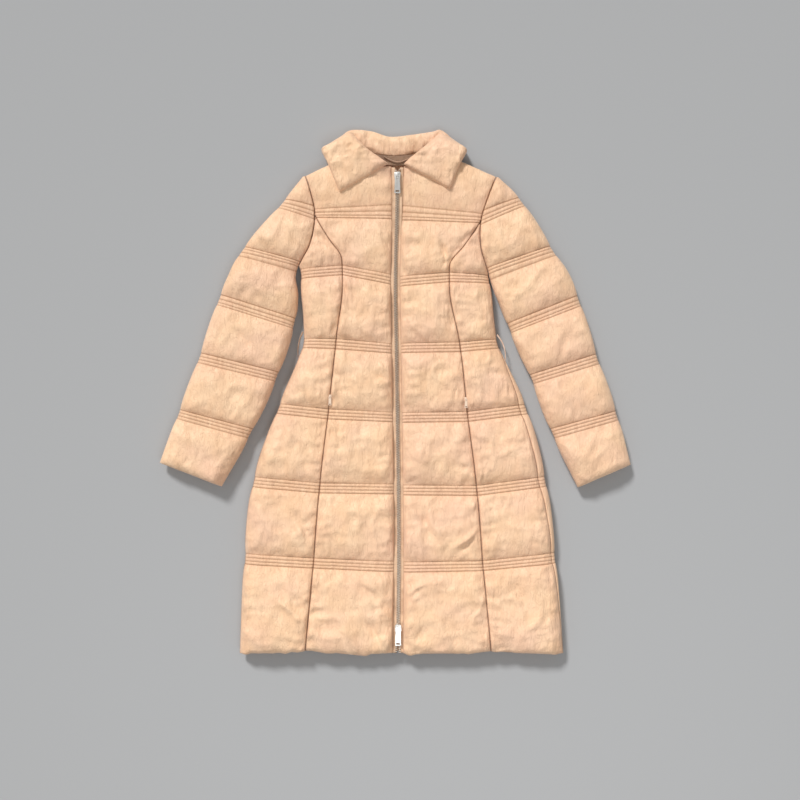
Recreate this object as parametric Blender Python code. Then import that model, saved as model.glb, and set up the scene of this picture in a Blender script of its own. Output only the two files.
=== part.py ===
"""A long quilted puffer coat, zipped up and laid on its back on a flat surface.

Frame: +Y runs from the hem to the collar, +X to the wearer's left, +Z up off the surface.
The origin is on the underside, on the centre line, halfway along the coat.
Tables and sizes are in millimetres. Every solid is built in metres.
"""

import math
from collections import namedtuple

import bmesh
import bpy
from mathutils import Matrix, Vector

MM = 0.001
RIGHT, LEFT = "right", "left"

# ---- thicknesses and gaps
MIDDLE = 18.0  # height of the plane where the front lies on the back
SEAM_GAP = 0.3
ARMHOLE_GAP = 0.8
QUILT_BAND = 20.0  # height of one band of pin tucks
BODY_LOFT = 25.0  # the front above MIDDLE at the crown of a quilted block
YOKE_LOFT = 12.0
SLEEVE_LOFT = 22.0
BAND_SHARE = 0.66  # a band's height as a share of the crown's
BAND_GROOVE = 2.5  # how far a band lifts off the surface on the underside

HANGER_RADIUS = 1.8

# ---- the belt loops on the side seams: the row of the body, and how far out from its outline
Strand = namedtuple("Strand", "row out")
BELT_LOOP = {
    RIGHT: [Strand(4.17, 2.6), Strand(4.06, 7.4), Strand(3.92, 7.6), Strand(3.78, 2.6)],
    LEFT: [Strand(4.14, 2.6), Strand(4.02, 9.0), Strand(3.88, 9.0), Strand(3.74, 2.8)],
}
BELT_LOOP_RADIUS = 1.6

# ---- how the height falls towards an edge: share of the crown left there, and over what width
Edge = namedtuple("Edge", "share width")
ZIP_EDGE = Edge(0.46, 26.0)
SEAM_EDGE = Edge(0.74, 22.0)
SIDE_EDGE = Edge(0.0, 34.0)
ARMHOLE_EDGE = Edge(0.66, 26.0)
HEM_EDGE = Edge(0.30, 20.0)
SHOULDER_EDGE = Edge(0.12, 26.0)
UNDER_EDGE = Edge(0.0, 24.0)

# ---- the front, a row for each quilting band: where its middle meets the zip edge,
# the princess seam and the side, and how far the side seam lies in from the outline
Band = namedtuple("Band", "name zip_x zip_y seam_x seam_y side_x side_y wrap")
FRONT = {
    RIGHT: [
        Band("hem", -11, -523, -181, -513, -311, -519, 0),
        Band("thigh", -8, -347, -165, -340, -303, -332, 0),
        Band("low_hip", -8, -193, -153, -191, -286, -179, 0),
        Band("hip", -10, -51, -136, -45, -237, -34, 0),
        Band("waist", -12, 85, -121, 94, -187, 96, 0),
        Band("bust", -14, 221, -109, 239, -192, 233, 0),
        Band("chest", -11, 351, -163, 351, -196, 260, 0),
        Band("neck", -12, 446, -174, 404, -196, 280, 0),
        Band("shoulder", -74, 480, -182, 428, -196, 300, 0),
    ],
    LEFT: [
        Band("hem", 14, -523, 186, -513, 329, -517, 0),
        Band("thigh", 15, -348, 170, -345, 315, -330, 7),
        Band("low_hip", 14, -195, 158, -196, 296, -178, 14),
        Band("hip", 12, -52, 140, -50, 258, -35, 13),
        Band("waist", 10, 86, 125, 88, 201, 95, 0),
        Band("bust", 8, 217, 105, 225, 184, 223, 0),
        Band("chest", 11, 349, 167, 341, 180, 250, 0),
        Band("neck", 14, 446, 187, 402, 180, 270, 0),
        Band("shoulder", 74, 481, 197, 426, 180, 290, 0),
    ],
}
HEM, THIGH, LOW_HIP, HIP, WAIST, BUST, CHEST, NECK, SHOULDER = range(9)
UNDERARM_ROW = BUST + 0.14

# ---- the armhole seam, from the shoulder down to the underarm
Point = namedtuple("Point", "name x y")
ARMHOLE = {
    RIGHT: [
        Point("shoulder", -182, 428),
        Point("upper", -174, 404),
        Point("chest", -163, 351),
        Point("lower", -172, 292),
        Point("underarm", -195, 250),
    ],
    LEFT: [
        Point("shoulder", 197, 426),
        Point("upper", 187, 402),
        Point("chest", 167, 341),
        Point("lower", 166, 284),
        Point("underarm", 181, 236),
    ],
}

# ---- a sleeve, a row for each band: its ends on the outer fold and on the armhole or inner fold
Arm = namedtuple("Arm", "name outer_x outer_y inner_x inner_y banded")
SLEEVE = {
    RIGHT: [
        Arm("cap", -187, 427, -184, 424, False),
        Arm("sleeve_head", -231, 372, -164, 348, True),
        Arm("biceps", -308, 281, -199, 246, True),
        Arm("upper_arm", -334, 230, -198, 188, False),
        Arm("elbow", -356, 180, -204, 132, True),
        Arm("forearm", -394, 67, -238, 29, True),
        Arm("wrist", -435, -44, -290, -83, True),
        Arm("cuff", -470, -142, -350, -188, False),
    ],
    LEFT: [
        Arm("cap", 203, 425, 199, 422, False),
        Arm("sleeve_head", 250, 376, 168, 334, True),
        Arm("biceps", 310, 282, 183, 228, True),
        Arm("upper_arm", 341, 233, 204, 176, False),
        Arm("elbow", 364, 178, 223, 123, True),
        Arm("forearm", 400, 65, 267, 24, True),
        Arm("wrist", 438, -47, 308, -83, True),
        Arm("cuff", 463, -146, 361, -190, False),
    ],
}

# ---- the collar: each leaf from its front edge to the side fold, a row for each section
# from the roll line to the free edge, with the heights of its upper and lower faces
Leaf = namedtuple("Leaf", "name roll_x roll_y edge_x edge_y top foot")
COLLAR = {
    RIGHT: [
        Leaf("front", -17, 450, -113, 394, 40.0, 31.0),
        Leaf("break", -39, 466, -126, 424, 41.0, 31.0),
        Leaf("turn", -60, 481, -138, 453, 41.0, 31.0),
        Leaf("side", -80, 504, -150, 478, 37.0, 17.0),
        Leaf("fold", -93, 521, -146, 488, 22.0, 6.0),
    ],
    LEFT: [
        Leaf("front", 13, 449, 105, 399, 40.0, 31.0),
        Leaf("break", 26, 462, 116, 428, 41.0, 31.0),
        Leaf("turn", 42, 474, 128, 455, 41.0, 31.0),
        Leaf("side", 68, 499, 139, 477, 37.0, 17.0),
        Leaf("fold", 88, 521, 134, 488, 22.0, 6.0),
    ],
}
# the stand behind the neck, folded down on the fall that lies under it
Stand = namedtuple("Stand", "x roll_y")
STAND = [
    Stand(-116, 505),
    Stand(-92, 521),
    Stand(-52, 519),
    Stand(-14, 508),
    Stand(30, 512),
    Stand(70, 518),
    Stand(88, 521),
    Stand(110, 505),
]
STAND_TOP = 17.0
NECK_CLEAR = 3.0  # between the neckline and what shows inside it

# ---- zip, pulls, loops
TAPE_Z = 25.0
TAPE_THICK = 1.2
TOOTH_WIDTH = 4.4
TOOTH_THICK = 3.4
ZIP_TOP = 444.0
ZIP_END = -518.0
TOP_SLIDER_Y = 427.0
BOTTOM_SLIDER_Y = -468.0
SLIDER_LENGTH = 14.0
PULL_LENGTH = 36.0
PULL_WIDTH = 12.0
PULL_TILT = 4.0  # degrees down from level, so that the free end lies on the teeth
POCKET_TOP, POCKET_BOTTOM = HIP + 0.26, LOW_HIP + 0.23
POCKET_MOUTH = 3.0
POCKET_SLIDER_ROW = HIP + 0.25
POCKET_PULL_TILT = 5.5
SMALL_ZIP = 0.5  # a pocket zip's slider and pull, as a share of the front zip's

Finish = namedtuple("Finish", "colour roughness metallic")
SHELL = Finish((0.80, 0.55, 0.36), 0.55, 0.0)
FACING = Finish((0.42, 0.26, 0.16), 0.6, 0.0)
TAPE = Finish((0.55, 0.40, 0.28), 0.8, 0.0)
TEETH = Finish((0.46, 0.40, 0.33), 0.4, 0.9)
STEEL = Finish((0.78, 0.77, 0.74), 0.22, 1.0)


# ---------------------------------------------------------------- curves and heights
def along(points, t):
    """A smooth curve through points, one for each whole t."""
    last = len(points) - 1
    k = min(max(int(math.floor(t)), 0), last - 1)
    f = t - k
    b, c = Vector(points[k]), Vector(points[k + 1])
    a = Vector(points[k - 1]) if k else 2 * b - c
    d = Vector(points[k + 2]) if k + 2 <= last else 2 * c - b
    return 0.5 * (2 * b + (c - a) * f + (2 * a - 5 * b + 4 * c - d) * f * f
                  + (3 * b - a - 3 * c + d) * f ** 3)


def armhole(side, q):
    return along([(p.x, p.y) for p in ARMHOLE[side]], q)


def zip_edge(side, t):
    if t > NECK:  # the neckline, hollowed between the zip's top and the shoulder
        a, b = FRONT[side][NECK], FRONT[side][SHOULDER]
        f = t - NECK
        hollow = 0.28 * math.sin(math.pi * f) * (b.zip_y - a.zip_y)
        return Vector((a.zip_x + f * (b.zip_x - a.zip_x), a.zip_y + f * (b.zip_y - a.zip_y) - hollow))
    rows = FRONT[side][: NECK + 1]
    return along([(r.zip_x, r.zip_y) for r in rows], t)


def princess(side, t):
    """The princess seam up to the chest band, and the armhole above it."""
    if t >= CHEST:
        return armhole(side, 2.0 - (t - CHEST))
    return along([(r.seam_x, r.seam_y) for r in FRONT[side]], t)


def side_line(side, t):
    """The coat's outline up to the underarm, and the armhole above it."""
    if t > UNDERARM_ROW:
        share = (t - UNDERARM_ROW) / (CHEST - UNDERARM_ROW)
        return armhole(side, 4.0 - 2.0 * share)
    rows = [(r.side_x, r.side_y) for r in FRONT[side][: BUST + 1]]
    if t > BUST:
        share = (t - BUST) / (UNDERARM_ROW - BUST)
        return along(rows, BUST).lerp(armhole(side, 4.0), share)
    return along(rows, t)


def wrap(side, t):
    rows = [(r.wrap, 0.0) for r in FRONT[side]]
    return max(0.0, along(rows, t)[0]) if t < WAIST else 0.0


def rise(distance, edge):
    """The share of full height at this distance from an edge: a quarter of an ellipse."""
    f = min(max(distance / edge.width, 0.0), 1.0)
    return edge.share + (1.0 - edge.share) * math.sqrt(1.0 - (1.0 - f) ** 2)


def puff(share):
    """The share of full height between two bands, from 0 at one band to 1 at the other."""
    return BAND_SHARE + (1.0 - BAND_SHARE) * math.sin(math.pi * share) ** 0.6


def stations(lengths, banded, inner):
    """Rows along a panel as (row, share of its puff). Between neighbouring bands there are
    inner rows, and each band has a row at both of its edges."""
    rows = []
    for k, length in enumerate(lengths):
        low = k + (QUILT_BAND / 2 / length if banded[k] else 0.0)
        high = k + 1 - (QUILT_BAND / 2 / length if banded[k + 1] else 0.0)
        first = 0.0 if banded[k] or k == 0 else 0.5
        last = 1.0 if banded[k + 1] or k + 1 == len(lengths) else 0.5
        for f in [0.0, *inner, 1.0]:
            if f == 0.0 and k and not banded[k]:
                continue
            rows.append((low + f * (high - low), first + f * (last - first)))
    return rows


# ---------------------------------------------------------------- solids
def material(name, finish):
    made = bpy.data.materials.get(name) or bpy.data.materials.new(name)
    made.use_nodes = True
    shader = made.node_tree.nodes["Principled BSDF"]
    shader.inputs["Base Color"].default_value = (*finish.colour, 1.0)
    shader.inputs["Roughness"].default_value = finish.roughness
    shader.inputs["Metallic"].default_value = finish.metallic
    return made


def new_object(name, mesh, finish_name, finish):
    made = bpy.data.objects.new(name, mesh)
    made.data.materials.append(material(finish_name, finish))
    COAT.objects.link(made)
    return made


def loft(name, rings, finish_name="shell", finish=SHELL):
    """A solid through rings of points in millimetres, with a face over each end."""
    bm = bmesh.new()
    loops = [[bm.verts.new(Vector(p) * MM) for p in ring] for ring in rings]
    for a, b in zip(loops, loops[1:]):
        for i in range(len(a)):
            j = (i + 1) % len(a)
            bm.faces.new((a[i], a[j], b[j], b[i]))
    bm.faces.new(loops[0][::-1])
    bm.faces.new(loops[-1])
    bmesh.ops.remove_doubles(bm, verts=bm.verts, dist=0.02 * MM)
    bmesh.ops.recalc_face_normals(bm, faces=bm.faces)
    bmesh.ops.triangulate(bm, faces=bm.faces)
    mesh = bpy.data.meshes.new(name)
    bm.to_mesh(mesh)
    bm.free()
    return new_object(name, mesh, finish_name, finish)


def across(a, b, shares):
    """Points between a and b in plan, and how far each is from a and from b."""
    length = (b - a).length
    return [(a.lerp(b, s), s * length, (1.0 - s) * length) for s in shares]


def top_ring(a, b, shares, height, gap_a, gap_b):
    """A front wall's section: its outer points from a to b, then back along MIDDLE."""
    run = (b - a).normalized()
    a, b = a + run * gap_a, b - run * gap_b
    outer = [(p.x, p.y, MIDDLE + SEAM_GAP / 2 + height(da, db)) for p, da, db in across(a, b, shares)]
    floor = MIDDLE + SEAM_GAP / 2
    thin = 0.6  # a wall never ends in a knife edge
    outer = [(x, y, max(z, floor + thin)) for x, y, z in outer]
    return outer + [(b.x, b.y, floor), (a.x, a.y, floor)]


def under_ring(a, b, shares, drop, gap_a, gap_b):
    """A back wall's section: its underside from a to b, then back along MIDDLE."""
    run = (b - a).normalized()
    a, b = a + run * gap_a, b - run * gap_b
    ceiling = MIDDLE - SEAM_GAP / 2
    outer = [(p.x, p.y, min(drop(da, db), ceiling - 0.6)) for p, da, db in across(a, b, shares)]
    return outer + [(b.x, b.y, ceiling), (a.x, a.y, ceiling)]


BODY_BANDED = [False, True, True, True, True, True, True, False, False]
CENTRE_SHARES = (0.0, 0.08, 0.25, 0.5, 0.75, 0.92, 1.0)
SIDE_SHARES = (0.0, 0.1, 0.35, 0.62, 0.84, 0.95, 1.0)


def body_lengths():
    seam = FRONT[RIGHT]
    return [math.hypot(b.seam_x - a.seam_x, b.seam_y - a.seam_y) for a, b in zip(seam, seam[1:])]


def body_stations():
    """Rows of the body, closer together beside the armhole, up to the shoulder or the armhole's end."""
    rows = stations(body_lengths(), BODY_BANDED, (0.14, 0.5, 0.86))
    beside = [UNDERARM_ROW, BUST + 0.35, BUST + 0.6, BUST + 0.8, BUST + 0.92]
    pockets = [POCKET_BOTTOM - 0.03, POCKET_BOTTOM, POCKET_TOP, POCKET_TOP + 0.03]
    plain = [r for r in rows if r[0] < BUST + 0.1 or r[0] > BUST + 0.95]
    return sorted(plain + [(t, crown_share(t)) for t in beside + pockets])


def crown_share(t):
    """Where a body row lies between its two bands, from 0 to 1."""
    k = min(int(t), len(FRONT[RIGHT]) - 2)
    margin = QUILT_BAND / 2 / body_lengths()[k]
    low = k + (margin if BODY_BANDED[k] else 0.0)
    high = k + 1 - (margin if BODY_BANDED[k + 1] else 0.0)
    return min(max((t - low) / (high - low), 0.0), 1.0)


def loft_height(t):
    """Full height of the front above MIDDLE, lower over the shoulders."""
    share = min(max((t - BUST) / (CHEST + 0.4 - BUST), 0.0), 1.0)
    return BODY_LOFT + (YOKE_LOFT - BODY_LOFT) * share


def hem_rise(side, t, edge):
    return rise((t - HEM) * 170.0, edge)


def shoulder_rise(t, edge):
    return rise((SHOULDER - t) * 34.0, edge) if t > NECK else 1.0


def mouth(t):
    """Half the gap at the princess seam, wider where the pocket opens."""
    inside = POCKET_BOTTOM <= t <= POCKET_TOP
    return POCKET_MOUTH / 2 if inside else SEAM_GAP / 2


def front_centre(side):
    rings = []
    for t, share in body_stations():
        full = loft_height(t) * puff(share) * hem_rise(side, t, HEM_EDGE) * shoulder_rise(t, SHOULDER_EDGE)
        outer_edge = SEAM_EDGE if t < CHEST else ARMHOLE_EDGE
        rings.append(top_ring(
            zip_edge(side, t), princess(side, t), CENTRE_SHARES,
            lambda d_zip, d_seam: full * rise(d_zip, ZIP_EDGE) * rise(d_seam, outer_edge),
            0.0, mouth(t) if t < CHEST else ARMHOLE_GAP / 2,
        ))
    return loft(f"front_centre_{side}", rings)


def side_panel_stations():
    return [r for r in body_stations() if r[0] < BUST + 0.95]


def front_side(side):
    rings = []
    for t, share in side_panel_stations():
        full = loft_height(t) * puff(share) * hem_rise(side, t, HEM_EDGE)
        inset = wrap(side, t)
        # the outline turns into the armhole seam above the underarm
        seam_share = min(max((t - UNDERARM_ROW) / 0.2, 0.0), 1.0) if t > UNDERARM_ROW else 0.0
        low = Edge(ARMHOLE_EDGE.share * seam_share, SIDE_EDGE.width)
        a, b = princess(side, t), side_line(side, t)
        b = b - (b - a).normalized() * inset
        rings.append(top_ring(
            a, b, SIDE_SHARES,
            lambda d_seam, d_side: full * rise(d_seam, SEAM_EDGE) * rise(d_side + inset, low),
            mouth(t), ARMHOLE_GAP / 2 if t > BUST else SEAM_GAP / 2 * (inset > 0),
        ))
    return loft(f"front_side_{side}", rings)


def under_height(t, share):
    """Underside of the back: flat on the surface, up in the bands."""
    groove = BAND_GROOVE * (1.0 if share in (0.0, 1.0) and HEM < t < CHEST + 0.5 else 0.0)
    return groove


def back_side(side):
    rings = []
    for t, share in side_panel_stations():
        base = under_height(t, share)
        seam_share = min(max((t - UNDERARM_ROW) / 0.2, 0.0), 1.0) if t > UNDERARM_ROW else 0.0
        low = Edge(seam_share, UNDER_EDGE.width)
        hem = hem_rise(side, t, Edge(0.5, HEM_EDGE.width))
        inset = wrap(side, t)
        a, b = princess(side, t), side_line(side, t)
        run = (b - a).normalized()

        def under(d_seam, d_side):
            return MIDDLE - (MIDDLE - base) * rise(d_side, low) * hem

        ring = under_ring(a, b, SIDE_SHARES, under, SEAM_GAP / 2, ARMHOLE_GAP / 2 if t > BUST else 0.0)
        if inset > 0:
            # the back comes round the outline and ends at a seam on the upper side
            full = loft_height(t) * puff(share) * hem_rise(side, t, HEM_EDGE)
            start = b - run * inset + run * SEAM_GAP / 2
            rolled = [inset * 0.15, inset * 0.5, inset]
            over = [b - run * d for d in rolled[:-1]] + [start]
            heights = [MIDDLE + SEAM_GAP / 2 + full * rise(d, SIDE_EDGE) for d in rolled]
            outer = ring[: len(SIDE_SHARES)] + [(p.x, p.y, z) for p, z in zip(over, heights)]
            ring = outer + [(start.x, start.y, MIDDLE - SEAM_GAP / 2), ring[-1]]
        else:
            corner = ring[len(SIDE_SHARES)]
            x, y, z = ring[len(SIDE_SHARES) - 1]
            steps = [(x + (corner[0] - x) * f, y, z + (corner[2] - z) * f) for f in (0.25, 0.5, 0.75)]
            ring = ring[: len(SIDE_SHARES)] + steps + ring[len(SIDE_SHARES):]
        rings.append(ring)
    return loft(f"back_side_{side}", rings)


def back_top_line(x):
    """The shoulder seams and back neckline in plan, from one armhole to the other."""
    right, left = FRONT[RIGHT][SHOULDER], FRONT[LEFT][SHOULDER]
    row = right if x < 0 else left
    if abs(x) > abs(row.zip_x):
        f = (abs(x) - abs(row.zip_x)) / (abs(row.seam_x) - abs(row.zip_x))
        return row.zip_y + f * (row.seam_y - row.zip_y)
    return row.zip_y - BACK_NECK_DEPTH * (1.0 - (x / row.zip_x) ** 2)


BACK_NECK_DEPTH = 12.0
BACK_SHARES = (0.0, 0.06, 0.2, 0.35, 0.5, 0.65, 0.8, 0.94, 1.0)


def back_centre():
    rings = []
    for t, share in body_stations():
        a, b = princess(RIGHT, t), princess(LEFT, t)
        gap = SEAM_GAP / 2 if t < CHEST else ARMHOLE_GAP / 2
        base = under_height(t, share)
        hem = hem_rise(RIGHT, t, Edge(0.5, HEM_EDGE.width))
        top = shoulder_rise(t, Edge(0.2, SHOULDER_EDGE.width))
        ring = under_ring(a, b, BACK_SHARES, lambda da, db: MIDDLE - (MIDDLE - base) * hem * top, gap, gap)
        share_up = max(0.0, (t - CHEST) / (SHOULDER - CHEST))
        outer, closing = ring[: len(BACK_SHARES)], ring[len(BACK_SHARES):]
        level = [y for _, y, _ in outer]
        bent = []
        for (x, y, z), flat in zip(outer, level):
            bent.append((x, y + share_up ** 1.5 * max(0.0, back_top_line(x) - flat), z))
        inner = [(x, y, closing[0][2]) for x, y, z in bent[::-1]]
        rings.append(bent + inner)
    return loft("back_centre", rings)


# ---------------------------------------------------------------- sleeves
SLEEVE_SHARES = (0.0, 0.06, 0.2, 0.42, 0.66, 0.86, 0.96, 1.0)


def sleeve_rows(side):
    table = SLEEVE[side]
    mid = [Vector(((r.outer_x + r.inner_x) / 2, (r.outer_y + r.inner_y) / 2)) for r in table]
    lengths = [(b - a).length for a, b in zip(mid, mid[1:])]
    return stations(lengths, [r.banded for r in table], (0.16, 0.5, 0.84))


def sleeve_edges(side, t):
    table = SLEEVE[side]
    outer = along([(r.outer_x, r.outer_y) for r in table], t)
    if t <= 1.0:
        inner = armhole(side, 2.0 * t)
    elif t <= 2.0:
        inner = armhole(side, 2.0 + 2.0 * (t - 1.0))
    else:
        inner = along([(r.inner_x, r.inner_y) for r in table], t)
    return outer, inner


def sleeve_half(side, upper):
    rings = []
    cuff = len(SLEEVE[side]) - 1
    for t, share in sleeve_rows(side):
        outer, inner = sleeve_edges(side, t)
        sewn = 1.0 - min(max((t - 1.6) / 0.4, 0.0), 1.0)  # 1 along the armhole, 0 below the underarm
        at_cuff = rise((cuff - t) * 105.0, Edge(0.35, 16.0))
        width = (inner - outer).length
        narrow = min(1.0, width / 60.0) ** 0.5  # the cap starts thin at the shoulder
        gap = ARMHOLE_GAP if t <= 2.4 else 0.0
        if upper:
            full = SLEEVE_LOFT * puff(share) * at_cuff * narrow
            inner_edge = Edge(ARMHOLE_EDGE.share * sewn, 30.0)
            rings.append(top_ring(
                outer, inner, SLEEVE_SHARES,
                lambda d_out, d_in: full * rise(d_out, Edge(0.0, 34.0)) * rise(d_in, inner_edge), 0.0, gap,
            ))
        else:
            base = BAND_GROOVE if share in (0.0, 1.0) and 0 < t < cuff else 0.0
            base = base + MIDDLE * 0.5 * (1.0 - narrow)
            inner_edge = Edge(sewn, UNDER_EDGE.width)
            rings.append(under_ring(
                outer, inner, SLEEVE_SHARES,
                lambda d_out, d_in: MIDDLE - (MIDDLE - base) * rise(d_out, UNDER_EDGE)
                * rise(d_in, inner_edge) * at_cuff, 0.0, gap,
            ))
    name = f"sleeve_top_{side}" if upper else f"sleeve_under_{side}"
    return loft(name, rings)


# ---------------------------------------------------------------- collar
def slab_ring(a, b, top, foot, soft=3.0):
    """A padded section from a to b in plan, crowned on its upper face."""
    run = (b - a).normalized() * min(soft, 0.3 * (b - a).length)
    mid = (top + foot) / 2
    plan = [a, a + run, a.lerp(b, 0.3), a.lerp(b, 0.7), b - run, b]
    tops = [mid, top - 1.5, top, top, top - 1.5, mid]
    upper = [(p.x, p.y, z) for p, z in zip(plan, tops)]
    lower = [(p.x, p.y, foot) for p in (b - run * 0.5, a + run * 0.5)]
    return upper + lower


def collar_leaf(side):
    rings = []
    rows = COLLAR[side]
    steps = 3
    for i in range((len(rows) - 1) * steps + 1):
        t = i / steps
        a = along([(r.roll_x, r.roll_y) for r in rows], t)
        b = along([(r.edge_x, r.edge_y) for r in rows], t)
        top, foot = along([(r.top, r.foot) for r in rows], t)
        thin = 2.0 if i == 0 else 0.0
        rings.append(slab_ring(a, b, top - thin, foot))
    return loft(f"collar_leaf_{side}", rings)


def collar():
    """The stand at the back of the neck, joined to a leaf at each side fold."""
    rings = []
    steps = 3
    for i in range((len(STAND) - 1) * steps + 1):
        x, roll_y = along([(r.x, r.roll_y) for r in STAND], i / steps)
        seam_y = back_top_line(x) + 0.6
        end = i in (0, (len(STAND) - 1) * steps)
        top = STAND_TOP - (5.0 if end else 0.0)
        seam_y = max(seam_y, roll_y - 55.0)
        rings.append(slab_ring(Vector((x, seam_y)), Vector((x, roll_y)), top, 0.0, 6.0))
    stand = loft("collar", rings)
    for side in (RIGHT, LEFT):
        leaf = collar_leaf(side)
        COAT.objects.unlink(leaf)
        CUTTERS.objects.link(leaf)
        leaf.hide_render = True
        leaf.display_type = "WIRE"
        boolean(stand, leaf, "UNION")


def back_neck():
    """The inside of the back that shows in the neck opening, from the front neckline to the neck seam."""
    rings = []
    for i in range(13):
        x = -58.0 + 116.0 * i / 12
        side = RIGHT if x < 0 else LEFT
        low, high = 0.0, 1.0
        for _ in range(30):
            f = (low + high) / 2
            if abs(zip_edge(side, NECK + f).x) < abs(x):
                low = f
            else:
                high = f
        near = max(zip_edge(side, NECK + low).y + NECK_CLEAR, ZIP_TOP + NECK_CLEAR)
        far = back_top_line(x) - 0.3
        floor = MIDDLE + SEAM_GAP
        rings.append([(x, near, floor), (x, far, floor), (x, far, floor + 1.4), (x, near, floor + 1.4)])
    return loft("back_neck_inside", rings, "facing", FACING)


def tube(name, points, radius, finish_name="shell", finish=SHELL, flat=1.0):
    """A round or flattened tube through points, closed at both ends."""
    rings = []
    path = [Vector(p) for p in points]
    for i, p in enumerate(path):
        way = (path[min(i + 1, len(path) - 1)] - path[max(i - 1, 0)]).normalized()
        side_way = way.cross(Vector((0.0, 0.0, 1.0))).normalized()
        up = side_way.cross(way)
        turn = [2 * math.pi * k / 8 for k in range(8)]
        rings.append([p + side_way * radius * math.cos(a) + up * radius * flat * math.sin(a) for a in turn])
    return loft(name, rings, finish_name, finish)


def hanger_loop():
    z = MIDDLE + SEAM_GAP + 1.4 + SEAM_GAP + HANGER_RADIUS
    points = []
    for i in range(15):
        f = i / 14
        points.append((-26.0 + 56.0 * f, back_top_line(0) - 2.5 - 11.0 * math.sin(math.pi * f), z))
    return tube("hanger_loop", points, HANGER_RADIUS)


def belt_loop(side):
    """A narrow strip sewn in the side seam at the waist, both ends in the seam."""
    rows = BELT_LOOP[side]
    way = -1 if side == RIGHT else 1
    points = []
    for i in range((len(rows) - 1) * 3 + 1):
        row, out = along([(r.row, r.out) for r in rows], i / 3)
        p = side_line(side, row)
        points.append((p.x + way * out, p.y, MIDDLE))
    return tube(f"belt_loop_{side}", points, BELT_LOOP_RADIUS)


# ---------------------------------------------------------------- zip and loops
def zip_line(y):
    """The zip's centre line: halfway between the two front edges at this height."""
    def x_at(side):
        low, high = 0.0, float(NECK)
        for _ in range(30):
            t = (low + high) / 2
            if zip_edge(side, t).y < y:
                low = t
            else:
                high = t
        return zip_edge(side, low).x
    return x_at(RIGHT), x_at(LEFT)


MESHED_TOP = TOP_SLIDER_Y + SLIDER_LENGTH / 2
MESHED_BOTTOM = BOTTOM_SLIDER_Y - SLIDER_LENGTH / 2


def zip_ys():
    """Heights of the zip's sections: its two ends, and evenly between the sliders."""
    count = 22
    meshed = [MESHED_BOTTOM + (MESHED_TOP - MESHED_BOTTOM) * i / count for i in range(count + 1)]
    return [ZIP_END, *meshed, ZIP_TOP]


def spread(y):
    """How far each row of teeth moves off the centre line, past the sliders."""
    return 0.5 * max(0.0, y - MESHED_TOP) + 0.05 * max(0.0, MESHED_BOTTOM - y)


def zip_tape(side):
    rings = []
    for y in zip_ys():
        right, left = zip_line(y)
        centre = (right + left) / 2
        way = -1 if side == RIGHT else 1
        panel = right if side == RIGHT else left
        inner = centre + way * (SEAM_GAP + spread(y))
        outer = panel - way * SEAM_GAP
        low, high = TAPE_Z, TAPE_Z + TAPE_THICK
        rings.append([(inner, y, low), (outer, y, low), (outer, y, high), (inner, y, high)])
    return loft(f"zip_tape_{side}", rings, "tape", TAPE)


def zip_teeth(side):
    rings = []
    for y in zip_ys():
        right, left = zip_line(y)
        way = -1 if side == RIGHT else 1
        inner = (right + left) / 2 + way * (SEAM_GAP / 2 + spread(y))
        outer = inner + way * TOOTH_WIDTH
        low = TAPE_Z + TAPE_THICK + SEAM_GAP
        high = low + TOOTH_THICK
        mid = (low + high) / 2
        rings.append([(inner, y, low), (outer - way * 0.8, y, low), (outer, y, mid),
                      (outer - way * 0.8, y, high), (inner, y, high)])
    return loft(f"zip_teeth_{side}", rings, "teeth", TEETH)


def box_mesh(size, centre):
    bm = bmesh.new()
    bmesh.ops.create_cube(bm, size=1.0)
    bmesh.ops.scale(bm, vec=Vector(size) * MM, verts=bm.verts)
    bmesh.ops.translate(bm, vec=Vector(centre) * MM, verts=bm.verts)
    return bm


def helper(name, bm):
    mesh = bpy.data.meshes.new(name)
    bm.to_mesh(mesh)
    bm.free()
    made = bpy.data.objects.new(name, mesh)
    made.hide_render = True
    made.display_type = "WIRE"
    CUTTERS.objects.link(made)
    return made


def boolean(target, tool, operation):
    cut = target.modifiers.new(tool.name, "BOOLEAN")
    cut.operation = operation
    cut.object = tool
    cut.solver = "EXACT"


CHAIN_TOP = TAPE_Z + TAPE_THICK + SEAM_GAP + TOOTH_THICK


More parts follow.
